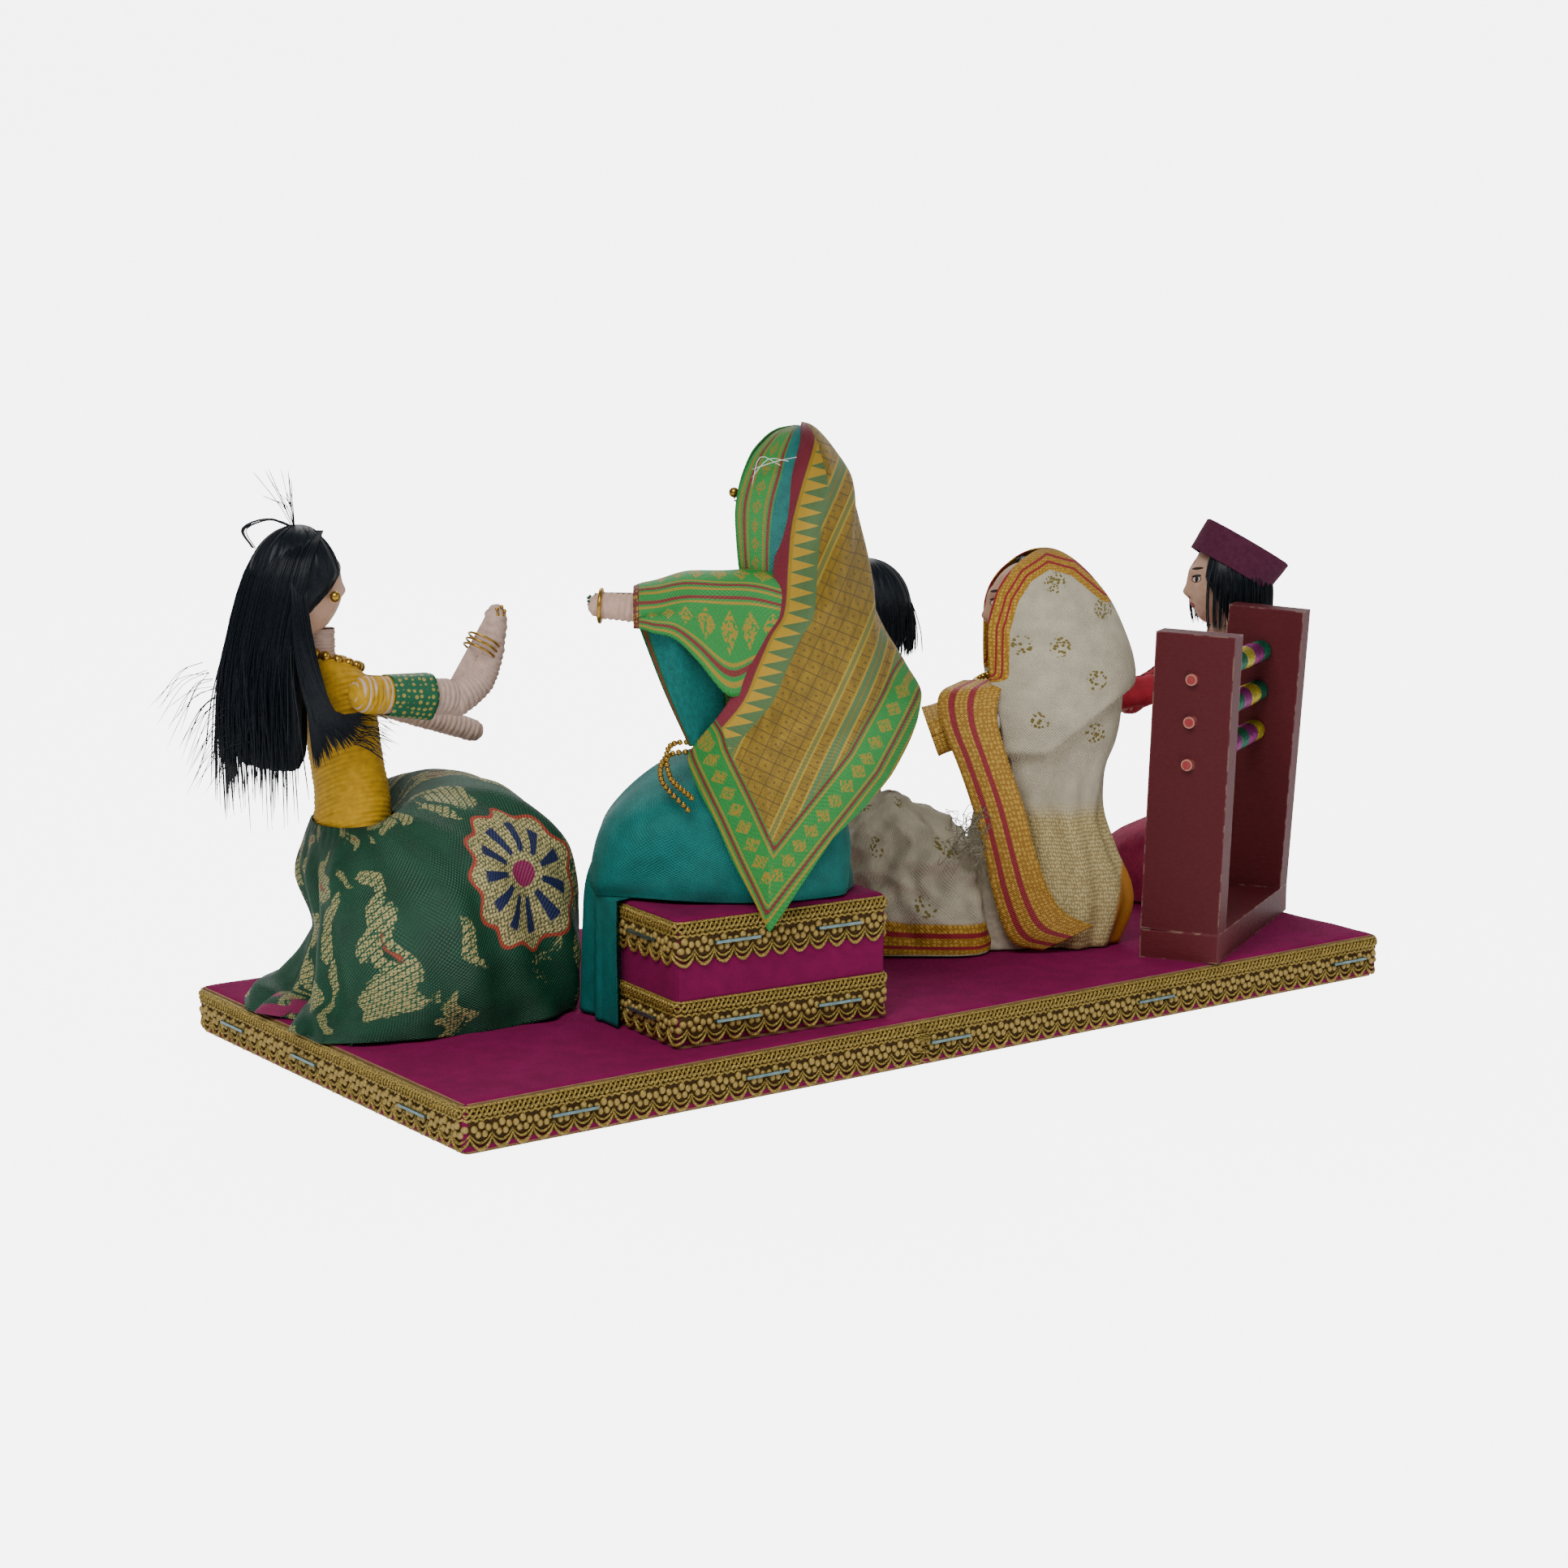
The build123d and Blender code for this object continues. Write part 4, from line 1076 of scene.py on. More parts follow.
    frays = threads_at(rng, 120, lambda r: shape(r, 0.99), 2.2, (0, 0, -0.2), 0.3)
    piece(strands_mesh([[(p[0], p[1], max(p[2], 0.5)) for p in path] for path in frays], 0.09, 5),
          "girl_skirt_frayed_hem", brocade, GIRL)


# ---- the bride --------------------------------------------------------------------------

def hood_shape(top, rear, front, half, low, middle, folds):
    """A cloth hung over a head, open at the front: u from the far edge to the near edge."""
    reach = math.radians(125)

    def at(u, v):
        w = 2 * u - 1
        z = top - (top - straight(low, w)) * v ** 1.35
        back, fore, wide = curve(rear, z), curve(front, z), curve(half, z)
        theta = reach * w
        deep = (fore - back) / (1 - math.cos(reach))
        out = folds(w, z)
        return Vector((back + deep * (1 - math.cos(theta)) - out * math.cos(theta),
                       middle + (wide + out) * math.sin(theta), z))
    return at


def leaves(tree, along, across, pitch, low, high):
    """1 inside a row of pointed leaves between low and high across a border."""
    wave = add(tree, "Math.DIVIDE", (add(tree, "Math.PINGPONG", (along, pitch / 2)), pitch / 2))
    rise = add(tree, "MapRange", {"Value": across, "From Min": low, "From Max": high,
                                  "To Min": -1.0, "To Max": 1.0})
    tip = add(tree, "Math.SUBTRACT", (wave, add(tree, "Math.ABSOLUTE", (rise,))))
    mask = add(tree, "MapRange", {"Value": tip, "From Min": 0.1, "From Max": 0.18})
    return add(tree, "Math.MULTIPLY", (mask, band(tree, across, low, high)))


def rough_leaf(tree, along, across, pitch, low, high, size_mm=0.7):
    """Leaves broken up by the steps of the weave."""
    mask = leaves(tree, along, across, pitch, low, high)
    place = add(tree, "TexCoord>UV")
    cloud = add(tree, "TexNoise", {"Vector": place, "Scale": 1 / size_mm, "Detail": 2.0})
    cut = add(tree, "MapRange", {"Value": cloud, "From Min": 0.44, "From Max": 0.5})
    return add(tree, "Math.MULTIPLY", (mask, cut))


def border_colours(tree, value, across, along, width, ground, figure, line, where=None):
    """Paints a woven border of the given width along an edge of a cloth."""
    def put(value, mask, tone):
        return mix(tree, add(tree, "Math.MULTIPLY", (mask, where)) if where else mask, value, tone)
    value = put(value, band(tree, across, -1, width, 0.1), ground)
    value = put(value, rough_leaf(tree, along, across, 4.6, 3.7, width - 2.3), figure)
    for low, high, tone in ((0.9, 1.5, figure), (2.0, 2.7, line), (3.0, 3.4, figure),
                            (width - 1.9, width - 1.4, figure), (width - 1.0, width - 0.3, line)):
        value = put(value, band(tree, across, low, high, 0.08), tone)
    return value


def to_line(points, x, z):
    """Distance from (x, z) to a broken line, and the place along it."""
    best, along, run = 1e9, 0.0, 0.0
    for (ax, az), (bx, bz) in zip(points, points[1:]):
        wide, tall = bx - ax, bz - az
        length = math.hypot(wide, tall)
        f = min(max(((x - ax) * wide + (z - az) * tall) / length ** 2, 0.0), 1.0)
        gone = math.hypot(x - ax - wide * f, z - az - tall * f)
        if gone < best:
            best, along = gone, run + f * length
        run += length
    return best, along


def clear_of_stool(point):
    """Pushes a point in the bride's frame out of the stool and its lace."""
    world = BRIDE @ Vector(point)
    local = STOOL_PLACE.inverted() @ world
    room = 2.4 + 1.2
    half_x, half_y = STOOL_SIZE[0] / 2 + room, STOOL_SIZE[1] / 2 + room
    if local.z < STOOL_SIZE[2] + 1.0 and abs(local.x) < half_x and abs(local.y) < half_y:
        if half_x + local.x < half_y - local.y:
            local.x = -half_x
        else:
            local.y = half_y
        world = STOOL_PLACE @ local
    return BRIDE.inverted() @ world


def build_bride(look):
    head = (-5.8, 0.0, 102.5)
    green = floss_finish("bright green floss", "1E7A30", "4CB050")
    skin = skin_finish("skin thread of the bride")
    torso = ((0, 0, 26, 9.6, 11.6), (0, 0, 36, 9.2, 11.2), (-2, 0, 56, 8.7, 11.7),
             (-3, 0, 74, 7.7, 12.7), (-4, 0, 80.5, 5.3, 6.8))
    piece(solid_body(torso, floss(1.2, 0.3, 4.0, 2), 130, 80), "bride_blouse_floss", green, BRIDE,
          replaces="bride_torso")
    neck_piece("bride", -3.8, 79, 90.5, skin, BRIDE)
    piece(head_mesh(head), "bride_face", painted_face("bride face paint", "C49478", "D8B098"),
          BRIDE, replaces="bride_head")
    elbow, hand = (26, 15, 73.5), (42.5, 14, 74.5)
    limb_piece("bride_upper_arm_thread", (-3, 15.5, 74.5), (21.5, 15, 73.7), 4.4, 4.2, skin, BRIDE,
               replaces="bride_upper_arm_left")
    limb_piece("bride_forearm_thread", elbow, hand, 4.1, 3.2, skin, BRIDE, "bride_forearm",
               "bride_forearm_left", seed=2)
    lower = limb_piece("bride_far_forearm_thread", (16, -16, 55), (21, -8, 43), 4.4, 3.0, skin,
                       BRIDE, seed=4)
    limb_piece("bride_far_arm_thread", (-3, -15.5, 74.5), (16, -16, 55), 4.4, 4.4, skin, BRIDE,
               replaces="bride_arm_right", seed=3)
    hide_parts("bride_arm_right")
    ring = [(7.4 + 1.9 * math.cos(a), 3.4, 100.3 + 1.9 * math.sin(a)) for a in
            [math.pi / 8 * k for k in range(16)]]
    nose = join([beads_mesh([(9.4, 3.6, 101.6)], 1.35), beads_mesh(ring, 0.32, 1)])
    rng = random.Random(8)
    sequins = [(43.2 + rng.uniform(-1.5, 2.4), 14 + rng.uniform(-2.4, 2.4), 76.2 + rng.uniform(-2, 1.2))
               for _ in range(22)]
    piece(beads_mesh(sequins, 0.45, 1), "bride_hand_sequins",
          mottled("green sequins", 0.7, "0A1A14", "2E8A60", 0.2, 0.7),
          BRIDE, "bride_forearm")
    gilt = gilt_finish("gilt bead of the bride", "7A5A20", "C09A44")
    places = (pearls_on_ring((-2.5, 0, 80.2), 8.6, 30, 0.3)
              + pearls_on_ring((-1, 0, 78.2), 9.8, 32, 0.35))
    piece(beads_mesh(places, 1.05), "bride_bead_necklace", gilt, BRIDE, replaces="bride_necklace")
    piece(nose, "bride_nose_ring", gilt, BRIDE, replaces="bride_nose_bead")
    belt = [(12.6 * math.cos(a), 12.8 * math.sin(a), 36.8) for a in
            [2 * math.pi * i / 40 for i in range(40)]]
    for fall in (((14, 14.5, 38), (25.5, 19.5, 38), (27.5, 21.5, 32), (21, 24.5, 25)),
                 ((14, 14.5, 40), (25, 19.5, 40.5), (25.5, 21.5, 33), (20, 24.5, 28))):
        belt += [spline(fall, i / 20) for i in range(21)]
    piece(beads_mesh(belt, 0.85, 1), "bride_waist_beads", gilt, BRIDE, replaces="bride_waist_chain")

    # Inner hood: teal ground with the green border round the face.
    top = 118.0
    rear = ((-10, -35.5), (50, -35.5), (58, -31), (67, -26), (80, -22.5), (91, -20.2), (105, -17.8),
            (112, -13.5), (116, -10.5), (117.5, -8.5), (118, -6))
    front = ((40, 17), (51, 10), (67, 4.5), (80, 7.8), (91, 8.8), (101, 8.6), (110, 5.4), (114.5, 1.8),
             (117, -1.8), (118, -6))
    half = ((20, 19), (50, 18), (67, 17), (80, 15.5), (90, 15), (100, 13.6), (108, 11.2),
            (113, 8.6), (116.3, 5.8), (117.5, 3.4), (118, 0))
    ripple = lambda w, z: (0.35 * math.sin(14 * w + z * 0.11) * (1 - abs(w))
                           + 0.3 * math.sin(z * 0.16 + 5 * w))
    inner = hood_shape(top, rear, front, half, ((-1, 58), (1, 58)), 0, ripple)

    def hood_edge(u, v):
        p = inner(u, v)
        return max(1 - abs(2 * u - 1), 0) * (22 + 0.62 * max(top - p.z, 0)), p.z

    def hood_cloth(tree):
        across, along = map_xy(tree, "edge")
        value = speckle(tree, 3.0, shade(look.bride_silk, 0.5), look.bride_silk, 3.0, "UV")
        return border_colours(tree, value, across, along, 8.6, look.bride_green, "8A7426", "7A2A24")
    teal_green = material("teal silk with green woven border", hood_cloth, 0.5, 0.05,
                          bump=weave(0.4), bump_mm=0.07)
    cloth_piece(inner, 110, 90, "bride_inner_hood", teal_green, BRIDE,
                thickness=0.35, charts={"edge": hood_edge})

    # Pallu: the gold end of the sari, over the back of the head and down in a point.
    tip = (2.1, -5.1)
    left_arm = (tip, (21.8, 36.2), (22.6, 39))
    right_arm = (tip, (-16, 17.5), (-28, 32), (-38.5, 50.5))
    low = ((-1, 42), (-0.1, 47), (0.02, 50.5), (0.16, 43), (0.3, 32), (0.53, 17.5), (0.735, -5.1),
           (1, 38.5))
    rear2 = ((-10, -37.2), (50, -37.7), (58, -33), (67, -27.9), (80, -24.5), (91, -22.1),
             (105, -19.7), (112, -15.5), (116.4, -12), (118.2, -9.6), (118.8, -7.5))
    front2 = ((-6, 21), (36, 22), (40.5, 19.5), (50.8, 11), (60, 7), (67.7, 3.6), (73, 0.5),
              (85, -0.6), (94.5, -1.6), (104, -4), (114, -7), (118.8, -7.5))
    half2 = ((-6, 29.5), (0, 28.5), (10, 26.2), (25, 24), (36, 23.4), (50, 23.4), (62, 24), (74, 24),
             (82, 20.5), (90, 17), (100, 15.6), (108, 13.4), (113, 10.4), (116.8, 6.4), (118.2, 3.4),
             (118.8, 0))

    def sweep(w, z):
        fan = (math.sin((z * 0.43 + w * 24) * 0.55) * 0.55
               + math.sin((z * 0.6 + w * 38) * 0.4) * 0.35)
        return fan * min(1.0, max(0.0, (116 - z) / 20))
    pallu = hood_shape(118.8, rear2, front2, half2, low, 0, sweep)

    def v_map(u, v):
        p = pallu(u, v)
        if u < 0.47:
            return p.z - 42, 60 + p.x
        one, two = to_line(left_arm, p.x, p.z), to_line(right_arm, p.x, p.z)
        return one if one[0] < two[0] else (two[0], two[1] + 100)

    def front_map(u, v):
        p = pallu(u, v)
        near = max((curve(front2, p.z) - p.x), 0) if abs(2 * u - 1) > 0.55 else 30
        return near, p.z

    def side_map(u, v):
        p = pallu(u, v)
        return p.x + (0 if u > 0.5 else 90), p.z

    def pallu_cloth(tree):
        x, z = map_xy(tree, "side")
        slant = add(tree, "Math.MULTIPLY_ADD", (x, 0.9, add(tree, "Math.MULTIPLY", (z, 0.43))))
        run = add(tree, "Math.MULTIPLY_ADD", (x, 0.43, add(tree, "Math.MULTIPLY", (z, -0.9))))
        value = speckle(tree, 4.0, "665218", "B08C22", 5.0, "UV")
        rows = add(tree, "Math.PINGPONG", (run, 1.5))
        bars = add(tree, "Math.PINGPONG", (slant, 1.9))
        value = mix(tree, band(tree, rows, -1, 0.12, 0.1), value, "5E4A20")
        value = mix(tree, band(tree, bars, -1, 0.1, 0.1), value, "5E4A20")
        dots = add(tree, "Math.ADD", (rows, bars))
        value = mix(tree, band(tree, dots, 3.0, 9, 0.15), value, "6A5424")
        for middle, wide in ((31, 1.3), (25.5, 0.5), (8.5, 0.5), (3, 1.4), (-2.5, 0.9)):
            for half_width, tone in ((wide + 0.5, "B8962E"), (wide, "5A7A4A"), (0.2, "8A7426")):
                stripe = band(tree, slant, middle - half_width, middle + half_width)
                value = mix(tree, stripe, value, tone)
        away, level = map_xy(tree, "front")
        value = mix(tree, band(tree, away, -1, 10.5, 0.1), value, "5A7A4A")
        wave = add(tree, "Math.DIVIDE", (add(tree, "Math.PINGPONG", (level, 1.6)), 1.6))
        rise = add(tree, "MapRange", {"Value": away, "From Min": 4.1, "From Max": 10.0})
        point = add(tree, "Math.SUBTRACT", (wave, rise))
        temple = add(tree, "MapRange", {"Value": point, "From Min": 0.0, "From Max": 0.06})
        value = mix(tree, add(tree, "Math.MULTIPLY", (temple, band(tree, away, 4.1, 10.0))), value,
                    "C8A030")
        value = mix(tree, band(tree, away, -1, 3.3, 0.1), value, "8A2A3A")
        value = mix(tree, band(tree, away, 3.4, 4.1, 0.1), value, "B8901E")
        across, along = map_xy(tree, "edge")
        return border_colours(tree, value, across, along, 11.5, look.bride_green, "A08428",
                              "7A2A24")
    zari_silk = material("green and gold zari silk", pallu_cloth, 0.42, 0.25, bump=weave(0.45),
                         bump_mm=0.08)
    cloth_piece(pallu, 220, 160, "bride_pallu", zari_silk, BRIDE,
                replaces="bride_sari_drape", thickness=0.4,
                charts={"edge": v_map, "front": front_map, "side": side_map})

    # The sari's edge drawn over the near shoulder, with its maroon lines.
    sleeve_rows = []
    for x, peak, low_z, out in ((34.2, 79.3, 69.5, 20.4), (30, 80.4, 68.6, 21),
                                (24.5, 82.2, 67.5, 21.5), (18.5, 82.9, 61.5, 21.8),
                                (10.5, 83.4, 53.0, 21.6), (3.5, 83.0, 56.0, 21.0),
                                (-5, 82.0, 60.0, 20.6)):
        sleeve_rows.append([(x - 1, 9.2, peak - 5), (x, 11, peak - 1), (x, 15, peak),
                            (x, 19, peak - 2), (x, out, peak - 7), (x, out, (peak + low_z) / 2 - 2),
                            (x, out - 0.6, low_z)])
    over = net(sleeve_rows)
    depth_of = lambda u, v: (v * 38, (1 - u) * (27 + 9 * v))
    fold = lambda u, v: over(u, v) + Vector((0, 0.5 * math.sin(11 * v + 4 * u),
                                             0.25 * math.sin(17 * v)))

    def shoulder_cloth(tree):
        x, y = map_xy(tree)
        tones = look.bride_green, "A08428", "7A2A24"
        value = speckle(tree, 3.0, shade(look.bride_green, 0.6), look.bride_green, 3.0, "UV")
        value = border_colours(tree, value, y, x, 12.5, *tones)
        upper = add(tree, "Math.SUBTRACT", (y, 12.6))
        value = border_colours(tree, value, upper, add(tree, "Math.ADD", (x, 2.0)), 12.0, *tones,
                               band(tree, upper, 0, 40))
        return mix(tree, band(tree, x, -1, 2.2), value, zari(tree, 1.2, "6A2A24", "A08428", 0.4))
    border_silk = material("green border of the sari", shoulder_cloth, 0.45, 0.15, bump=weave(0.45),
                           bump_mm=0.08)
    cloth_piece(fold, 50, 60, "bride_shoulder_drape", border_silk, BRIDE,
                replaces="bride_sari_drape",
                thickness=0.4, uv=depth_of)
    curtain = net([[(33.5, 13.5, 70.5), (27, 18.3, 54), (20.8, 18.6, 40)],
                   [(25, 19.2, 69), (22, 18.8, 54), (18, 18.3, 40)],
                   [(19, 17.0, 62), (17, 16.5, 52), (14.5, 15.5, 40)],
                   [(12, 14.0, 56), (11.5, 13.6, 48), (10, 13.6, 40)]])

    def curtain_cloth(tree):
        y = map_xy(tree)[1]
        value = speckle(tree, 2.0, shade(look.bride_silk, 0.5), look.bride_silk, 3.0, "UV")
        value = mix(tree, band(tree, y, -1, 2.6), value, "1E5A30")
        return mix(tree, band(tree, y, 1.0, 1.8), value, "7A2A24")
    cloth_piece(curtain, 40, 30, "bride_under_arm_fold",
                material("teal silk fold", curtain_cloth, 0.5, bump=weave(0.4), bump_mm=0.07), BRIDE,
                thickness=0.35)

    # Teal silk over the lap, the seat and the hanging legs.
    silk = mottled("teal silk", 5.0, shade(look.bride_silk, 0.55), look.bride_silk, 0.45,
                   bump=weave(0.4), bump_mm=0.08)
    seat = ring_net([
        [(11, 0, 38), (8, 9, 38), (0, 13, 38), (-8, 9, 38),
         (-10.5, 0, 38), (-8, -9, 38), (0, -13, 38), (8, -9, 38)],
        [(27, 0, 33), (22, 12, 32.5), (6, 17, 30), (-11, 11, 29),
         (-15, 0, 29), (-11, -11, 29), (6, -15, 30), (22, -12, 32)],
        [(43, -1, 19), (35, 17, 22), (9, 20.5, 17), (-15, 13.5, 15),
         (-19, 0, 15), (-14, -13, 15), (8, -18, 17), (33, -16, 20)],
        [(46, -3, 4), (40, 15, 6), (10, 21.5, 6), (-15, 14, 4),
         (-20, 0, 4), (-15, -14, 4), (8, -19, 5), (35, -20, 5)],
        [(45, -3, -2), (39, 14, 1.0), (10, 20.6, 0.6), (-15, 13, 0.6),
         (-20, 0, 0.6), (-15, -14, 0.6), (8, -19, 0.6), (34, -20, -2)]])
    gather = lambda u, v: (seat(u, v) + outward(u, 0.2)
                           * (0.9 * math.sin(26 * u + 7 * v) * math.sin(3 * v)
                              + 0.6 * math.sin(61 * u + 9 * v) * v))
    cloth_piece(gather, 200, 70, "bride_lap_silk", silk, BRIDE,
                replaces="bride_sari_skirt",
                closed=True)
    legs = ring_net([[(x0 + rx * math.cos(a), y0 + ry * math.sin(a), z) for a in
                      [math.pi / 4 * k for k in range(8)]]
                     for x0, y0, z, rx, ry in ((31, -2, 15, 11, 13), (34, -3, 3, 13, 15),
                                               (35, -4, -12, 13, 16), (34.5, -5, -32.4, 14, 17))])

    def hang(u, v):
        pleat = 0.9 * math.sin(2 * math.pi * 9 * u) * (0.3 + v)
        return clear_of_stool(legs(u, v) + outward(u) * pleat)
    cloth_piece(hang, 140, 60, "bride_hanging_pleats", silk, BRIDE,
                thickness=0.4, closed=True)
    wisps = [[(-6 + 2 * i, 13.5, 111 - i), (-1 + 2 * i, 13.9, 110 + 0.5 * i), (5, 13.6, 108 - 2 * i)]
             for i in range(3)]
    piece(strands_mesh(wisps, 0.09, 8), "bride_loose_white_threads",
          material("white cotton thread", "E8E8E4", 0.8), BRIDE)


# ---- the aunt ---------------------------------------------------------------------------

def buti_cloth(tree, ground_dark, ground_lit, spots, x, y):
    """Cream cotton-silk with woven gold sprigs at the given places on its map."""
    value = speckle(tree, 6.0, ground_dark, ground_lit, 4.0, "UV")
    place = add(tree, "TexCoord>UV")
    cloud = add(tree, "TexVoronoi>Distance", {"Vector": place, "Scale": 1 / 1.1})
    cut = add(tree, "MapRange", {"Value": cloud, "From Min": 0.5, "From Max": 0.42})
    for cx, cy in spots:
        mask = add(tree, "Math.MULTIPLY", (spot(tree, x, y, cx, cy, 3.0, 2.8), cut))
        value = mix(tree, mask, value, "7A6C34")
    return value


def lined_gold(tree, across, width):
    """The yellow-gold border with its two red lines and woven flowers."""
    value = zari(tree, 1.3, "A87A26", "CFA544", 0.42)
    for low, high in ((width * 0.2, width * 0.32), (width * 0.55, width * 0.67)):
        value = mix(tree, band(tree, across, low, high, 0.08), value, "9A2A34")
    return value


def build_aunt(look):
    head = (-1.5, 0.0, 95.5)
    skin = skin_finish("skin thread of the aunt")
    cream = floss_finish("cream floss", shade(look.aunt_cream, 0.5), look.aunt_cream, 0.7,
                         bump_mm=0.1)
    torso = ((5, 0, 0.6, 14.5, 13.5), (5, 0, 18, 12.6, 12.6), (5, 0, 34, 8.7, 9.7),
             (2, 0, 54, 8.2, 10.7), (1, 0, 70, 7.7, 12.1), (0, 0, 77.5, 4.8, 6.8))
    piece(solid_body(torso, floss(1.3, 0.3, 3.0, 4), 140, 80), "aunt_body_floss", cream, AUNT,
          replaces="aunt_torso")
    neck_piece("aunt", -0.5, 76, 83.6, skin, AUNT)
    piece(head_mesh(head), "aunt_face", painted_face("aunt face paint", "A8806A", "C09A80"), AUNT,
          replaces="aunt_head")
    piece(cap_of_hair(head, lambda z: 0.9 if z > 4 else 0.9 + 0.06 * (4 - z), 7, 1.2, -7.0),
          "aunt_hair", hair_finish("aunt hair"), AUNT, thickness=0.4)
    gilt = gilt_finish("gold rope bead", "8A6420", "D0AC4C", 0.3, 0.85, 0.7)
    places = pearls_on_ring((3, 0, 77.6), 9.4, 34, 0.3) + pearls_on_ring((3.4, 0, 75.6), 9.8, 34, 0.3)
    places += [(head[0] + 2.5, 12.2, 91), (head[0] + 2.5, 12.2, 88.6)]
    piece(beads_mesh(places, 1.15, 1), "aunt_rope_necklace", gilt, AUNT, replaces="aunt_necklace")

    # The veil: over the head, puffed at the back, then gathered and let down to the floor.
    rear = ((0, -28.5), (14, -32), (28, -27.5), (38, -24), (48, -24.5), (58, -27), (70, -28.6),
            (84, -28.4), (96, -25), (104, -20), (109, -14.8), (111.4, -11), (112.3, -8.4), (112.6, -6.5))
    front = ((0, -6), (20, -4), (36, 0), (48, 3), (58, 4), (66, 5), (76, 8), (88, 9.5), (97, 9),
             (104, 6.4), (109, 1.8), (111.4, -2), (112.3, -4.6), (112.6, -6.5))
    half = ((0, 10.5), (14, 11), (28, 10), (40, 10.4), (50, 12), (60, 14), (70, 15.4), (84, 15.6),
            (94, 14.6), (102, 12.4), (107.5, 9.4), (110.6, 6.4), (112.1, 3.2), (112.6, 0))

    def puff(w, z):
        x = -29 + 24 * (1 - math.cos(2.18 * w))
        crease = math.sin(w * 9 + z * 0.09) * 0.5 + 1.3 * noise.noise(Vector((w * 2.6, z * 0.06, 4)))
        tuck = 1.1 * math.sin(w * 21 + z * 0.05) * min(1.0, max(0.0, (58 - z) / 12))
        lip = 55 + max(0.0, -4 - x) * 0.75
        rise = min(max((z - lip) / 2.2, 0.0), 1.0)
        bag = 3.2 * rise * max(0.0, min(1.0, (104 - z) / 26)) * (0.5 + 0.5 * min(1, max(0, w + 0.4)))
        return crease * min(1, max(0, (108 - z) / 16)) + tuck * 0.7 + bag - 0.8 * (1 - rise)
    veil = hood_shape(112.5, rear, front, half, ((-1, 0.6), (1, 0.6)), 1.5, puff)

    def veil_edge(u, v):
        p = veil(u, v)
        away, along = to_line(((9.6, 80), (9.4, 92), (6.6, 101), (1.8, 108), (-6, 112.6), (-15, 110),
                               (-24, 102.5)), p.x, p.z)
        return away + max(0.0, 78 - p.z) * 2, along

    def veil_side(u, v):
        p = veil(u, v)
        return p.x + (0 if u > 0.5 else 90), p.z

    def veil_cloth(tree):
        across = map_xy(tree, "edge")[0]
        x, z = map_xy(tree, "side")
        spots = ((-8, 104), (-22, 96.5), (1.5, 87.5), (-9, 87), (-19.5, 77.5), (-3.4, 66.5),
                 (-20, 62), (82, 100), (70, 90), (86, 84), (72, 70))
        value = buti_cloth(tree, shade(look.aunt_cream, 0.6), look.aunt_cream, spots, x, z)
        lattice = zari(tree, 1.0, "A89464", "D8C890", 0.45)
        value = mix(tree, band(tree, z, -5, 40, 3.0), value, lattice)
        rim_line = add(tree, "Math.MULTIPLY_ADD", (z, 0.16, x))
        value = mix(tree, band(tree, rim_line, -60, -25.5, 0.5), value, mix(
            tree, band(tree, z, -5, 33, 2.0), value, "B8782A"))
        return mix(tree, band(tree, across, -1, 4.8, 0.1), value, lined_gold(tree, across, 4.8))
    cream_silk = material("cream silk with gold sprigs", veil_cloth, 0.6, 0.0, bump=weave(0.45),
                          bump_mm=0.08)
    cloth_piece(veil, 150, 130, "aunt_veil_cloth", cream_silk, AUNT,
                replaces="aunt_veil", thickness=0.4,
                charts={"edge": veil_edge, "side": veil_side})
    # The border band from the shoulder down the front, and its turn at the floor.
    path = [(17, 13, 77), (24, 19.0, 74), (23.5, 20.2, 66), (19, 20.6, 55), (14.5, 20.2, 42),
            (11, 19.6, 29), (8, 18.6, 16), (3, 17.6, 4), (-6, 16, 1.2)]
    run = [(3, 12.4, 77.5), (7, 18.4, 75), (8, 20, 67), (5, 20.4, 56), (0.5, 20.2, 43),
           (-3, 19.4, 30), (-7, 18.4, 19), (-12, 17.2, 12), (-20, 15.6, 8)]
    strip = net([[spline(path, k / 20) for k in range(21)],
                 [spline(path, k / 20) * 0.5 + spline(run, k / 20) * 0.5 + Vector((0, 0.9, 0))
                  for k in range(21)], [spline(run, k / 20) for k in range(21)]])

    def strip_cloth(tree):
        return lined_gold(tree, map_xy(tree)[1], 15.0)
    gold = material("yellow-gold woven border", strip_cloth, 0.45, 0.2, bump=weave(0.4), bump_mm=0.08)
    cloth_piece(strip, 110, 16, "aunt_border_band", gold, AUNT,
                replaces="aunt_sari_border", thickness=0.4)
    start, cuff = Vector((2, 13, 71)), Vector((26, 13, 62.5))
    along = (cuff - start).normalized()
    side, across = Vector((0, 1, 0)), along.cross(Vector((0, 1, 0)))
    tube = lambda u, v: (start + along * (9.5 + 16.0 * v) + (side * math.cos(TURN * u)
                         + across * math.sin(TURN * u))
                         * (7.1 + 0.35 * math.sin(31 * u) * v + 0.3 * math.sin(6 * v)))
    cloth_piece(tube, 60, 30, "aunt_sleeve_cloth", gold, AUNT,
                replaces="aunt_sleeve", thickness=0.4, closed=True)
    rng = random.Random(21)
    wool = []
    for _ in range(150):
        a = Vector([rng.uniform(-1, 1) for _ in range(3)]).normalized() * rng.uniform(2.5, 5.4)
        base = start + along * rng.uniform(17, 24.5)
        flat = a - along * a.dot(along)
        wool.append([base + flat, base + flat.cross(along) * 0.7 + along * rng.uniform(-1, 1.5),
                     base - flat * 0.8 + along * rng.uniform(-1, 1)])
